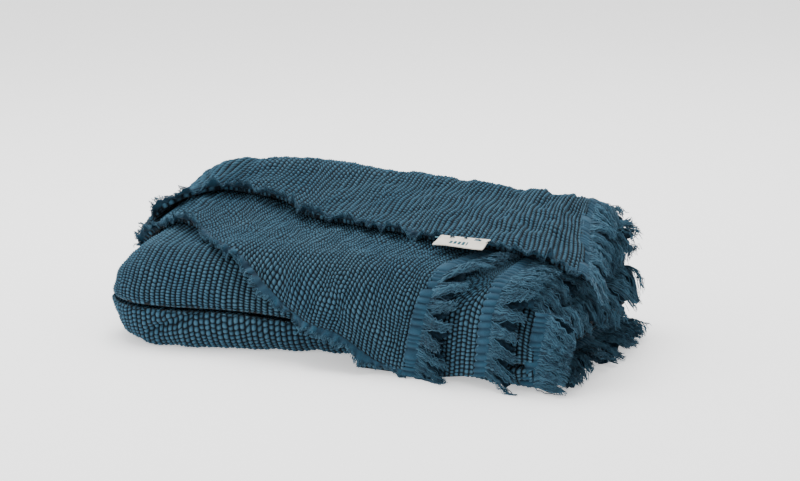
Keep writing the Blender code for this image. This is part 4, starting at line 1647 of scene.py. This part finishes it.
@dataclass
class RunEnds:
    """Fringed right ends of the two runs: a front curtain, and one end over the other."""

    form: Bundle
    finishes: Finishes
    front: float = -0.118
    back: float = 0.112
    inset: float = 0.0055
    bottom: float = 0.006

    def curtain(self, out: Array, w: Array) -> Array:
        """Front curtain that hangs over the run's front right corner.

        Args: out: distance past the weave; w: share across the piece.
        Returns: points on the frame.
        """
        form = self.form
        top = form.stack_top(form.right_x, form.front_y) - self.inset
        z = mix(self.bottom, top, w)
        lean = 0.016 * (w - 0.55)
        y = form.front_y + self.inset + 0.0 * out
        return form.on_frame(stack3(form.right_x + form.end_skew * form.front_y + lean + out,
                                    y, z))

    def crown_end(self, out: Array, w: Array) -> Array:
        """End of the middle run's topmost layer, which bends down over its cut end.

        Args: out: distance past the weave; w: share across the piece.
        Returns: points on the frame.
        """
        form = self.form
        y = mix(self.front - 0.004, self.back, w)
        x = form.right_x - 0.016 + form.end_skew * y
        crown = quarter_round(y - form.front_y, form.front_roll)
        height = mix(form.crease(x), form.stack_top(form.right_x, y), crown) + 0.004
        turn = np.clip(out, -0.02, None) / 0.040
        fall = 0.040 * (1.0 - np.cos(np.clip(turn, 0.0, 1.35)))
        reach = np.where(turn > 0, 0.040 * np.sin(np.clip(turn, 0, 1.35)), out)
        return form.on_frame(stack3(x + reach, y, height - fall))

    def drooping(self, height: float, droop: float, front: float, back: float) -> Callable:
        """Rule for an end that leaves the run at `height` and droops with distance.

        Args: height: height where it leaves the run; droop: how far it falls;
            front: its front edge; back: its back edge.
        Returns: a function of (out, w) to points.
        """
        form = self.form

        def lay(out: Array, w: Array) -> Array:
            """Point `out` past the run's end at share w towards the back.

            Args: out: distance past the weave; w: share across the piece.
            Returns: points on the frame.
            """
            y = mix(front, back, w)
            fall = droop * out * np.abs(out) / 0.054 + 0.15 * out
            wave = 0.006 * Ripples(int(height * 1e4), 0.06, 5)(y, 0.0 * y) * smooth(out / 0.03)
            return form.on_frame(stack3(form.right_x + form.end_skew * y + out, y,
                                        np.maximum(height - fall + wave, 0.004)))
        return lay

    def build(self) -> None:
        """Make the three fringed ends."""
        form = self.form
        top = form.stack_top(form.right_x, form.front_y)
        FringedEnd("wrap", self.curtain, top, seed=21, fringe=0.041, curl=0.006,
                   density=5200, own_sheet=True).build(self.finishes)
        span = self.back - self.front
        FringedEnd("lower", self.drooping(0.7 * form.lower_right, 0.10, self.front, self.back),
                   span, seed=22, fringe=0.039, curl=0.004, droop=0.004,
                   own_sheet=True).build(self.finishes)
        middle = 0.55 * (form.lower_right + form.stack_height)
        FringedEnd("middle", self.drooping(middle, 0.55, self.front, self.back), span, seed=23,
                   fringe=0.039, curl=0.004, droop=0.010, billow=0.006,
                   own_sheet=True).build(self.finishes)
        FringedEnd("upper", self.crown_end, span, seed=25, fringe=0.041, curl=0.004,
                   billow=0.009, stagger=0.008, pleat=0.022, in_frame=False,
                   own_sheet=True).build(self.finishes)


@dataclass
class InnerPlies:
    """The cloth folded inside the flap, which ends in its own fringe at the right."""

    form: Bundle
    finishes: Finishes
    left_share: float = 0.16
    right_share: float = 0.90
    start: float = 0.052
    back: float = 0.112

    def spot(self, u: Array, w: Array) -> tuple[Array, Array]:
        """Flat point at shares along and in.

        Args: u: share along the piece; w: share across the piece.
        Returns: across and back distances.
        """
        form = self.form
        x = mix(form.along(self.left_share), form.along(self.right_share), u)
        return x, mix(form.inner_edge(x) + self.start, self.back, w)

    def end_lay(self, out: Array, w: Array) -> Array:
        """Point `out` past the right end at share w towards the back.

        Args: out: distance past the weave; w: share across the piece.
        Returns: points on the frame.
        """
        form = self.form
        _, y = self.spot(1.0 + 0.0 * w, w)
        x = form.along(self.right_share)
        lift = form.ply + 1.5 * form.gap + 0.5 * form.inner_height(x, y)
        return form.on_frame(form.wrapped(x + out, y, lift))

    def build(self) -> None:
        form = self.form
        mesh, u, w, side = unit_grid(110, 44, thick=True)
        x, y = self.spot(u, w)
        rim = np.clip(np.minimum.reduce([u * 14, (1 - u) * 14, w * 7, (1 - w) * 7]), 0, 1) ** 0.5
        low = form.wrapped(x, y, form.ply + 2.0 * form.gap)
        high = form.wrapped(x, y, form.ply + 0.5 * form.gap + form.inner_height(x, y))
        middle = 0.5 * (low + high)
        points = middle + (high - middle) * np.where(side > 0.5, rim, -rim)[:, None]
        weave = self.finishes.weave
        uv = np.stack([u * 58.0, (y - y.min()) / weave.bead], -1)
        put_points(mesh, form.on_frame(points), uv)
        made = as_object("inner_cloth", mesh, self.finishes.cotton)
        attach(made, "flap")
        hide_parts("inner_plies")
        FringedEnd("inner", self.end_lay, 0.125, seed=24, body="flap", fringe=0.041,
                   pleat_height=0.0016, curl=0.005, droop=0.004,
                   own_sheet=True).build(self.finishes)
        LOG.info("inner plies folded in")


@dataclass
class SpineFold:
    """The bend of cloth at the left that joins the draped ply to the flap."""

    form: Bundle
    finishes: Finishes
    reach: float = 0.0012
    front: float = 0.028
    back: float = 0.150
    half_thickness: float = 0.0028

    def point(self, u: Array, v: Array) -> Array:
        """Half circle under the left ends of both plies.

        Args: u: share along the piece; v: share towards the back.
        Returns: points on the frame.
        """
        form = self.form
        back = mix(self.front, self.back, v)
        inner = form.wrapped(-0.318 - self.reach, back, form.gap + form.ply / 2.0)
        outer = form.wrapped(-0.316 - self.reach, back, 2.0 * form.gap + 1.5 * form.ply)
        centre, half = 0.5 * (inner + outer), 0.5 * (outer - inner)
        down = unit(stack3(half[..., 2], 0.0 * half[..., 1], -half[..., 0]))
        down = np.where(down[..., 2:] > 0.0, -down, down)
        down = down * np.linalg.norm(half, axis=-1, keepdims=True)
        turn = (math.pi * np.asarray(u, float))[..., None]
        return form.on_frame(centre - half * np.cos(turn) + down * np.sin(turn))

    def build(self) -> None:
        """Make the bend as a half round sheet under the left ends of both plies."""
        surface = Surface(self.point, 0.01)
        weave = self.finishes.weave
        half = self.half_thickness

        def counters(u: Array, w: Array) -> Array:
            """Rib and bead counters."""
            return np.stack([u * 3.0, w * (self.back - self.front) / weave.bead], -1)

        made = cloth_slab("spine_cloth", surface, (18, 60), lambda u, w: -half + 0.0 * u,
                          lambda u, w: half + 0.0 * u, self.finishes.cotton, counters)
        low, high = self.point(np.array(0.05), np.array(0.5)), self.point(np.array(0.95),
                                                                          np.array(0.5))
        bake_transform(made)
        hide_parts("spine_fold")
        LOG.info("spine fold joined")


DRAPE_SELVEDGE = [(-0.318, -0.017), (-0.280, -0.029), (-0.248, -0.040), (-0.215, -0.064),
                  (-0.182, -0.098), (-0.150, -0.112), (-0.108, -0.143), (-0.059, -0.180),
                  (-0.017, -0.194), (0.022, -0.216), (0.042, -0.2215), (0.064, -0.2225)]
DRAPE_END = [(0.064, -0.2225), (0.069, -0.190), (0.077, -0.150), (0.089, -0.105),
             (0.110, -0.055), (0.146, 0.010), (0.176, 0.070), (0.192, 0.150)]
FLAP_SELVEDGE = [(-0.316, 0.018), (-0.283, -0.004), (-0.256, 0.010), (-0.230, 0.034),
                 (-0.190, 0.030), (-0.150, 0.018), (-0.110, -0.008), (-0.052, -0.023),
                 (0.001, -0.034), (0.059, -0.048), (0.130, -0.054), (0.200, -0.064),
                 (0.234, -0.080)]
FLAP_END = [(0.234, -0.080), (0.224, -0.040), (0.208, 0.010), (0.192, 0.070), (0.182, 0.150)]


def main() -> None:
    """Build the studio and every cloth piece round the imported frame."""
    logging.basicConfig(level=logging.INFO, format="%(message)s")
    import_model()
    Studio().build()
    form, finishes = Bundle(), Finishes()
    Run(form, finishes, Fold.LOWER, 0.024, 0.024, 0.076,
        rows=(40, 8, 8, 26, 5, 5, 9), branch_depth=0.0065, seed=61).build()
    Run(form, finishes, Fold.MIDDLE, 0.050, 0.056, 0.075, seed=67).build()
    Ply(form, finishes, "draped", "draped_ply", DRAPE_SELVEDGE, DRAPE_END,
        form.gap + form.ply / 2.0, "pack", lean=0.13, ribs=84, bead_rows=84,
        seed=2).build((0.52, 0.37), 0.150, billow=0.004, stagger=0.008)
    Ply(form, finishes, "top", "top_ply", FLAP_SELVEDGE, FLAP_END,
        2.0 * form.gap + 1.5 * form.ply, "flap", inner=True, ribs=94, bead_rows=60,
        rear_lean=0.050, crimp=0.0022, seed=3).build(
            (0.55, 0.25), 0.105, billow=0.008, stagger=0.008, curl=0.004,
            droop=0.012, fringe=0.036)
    FrontPly(form, finishes).build()
    RunEnds(form, finishes).build()
    InnerPlies(form, finishes).build()
    SpineFold(form, finishes).build()
    LabelTag(finishes).build()


if __name__ == "__main__":
    main()
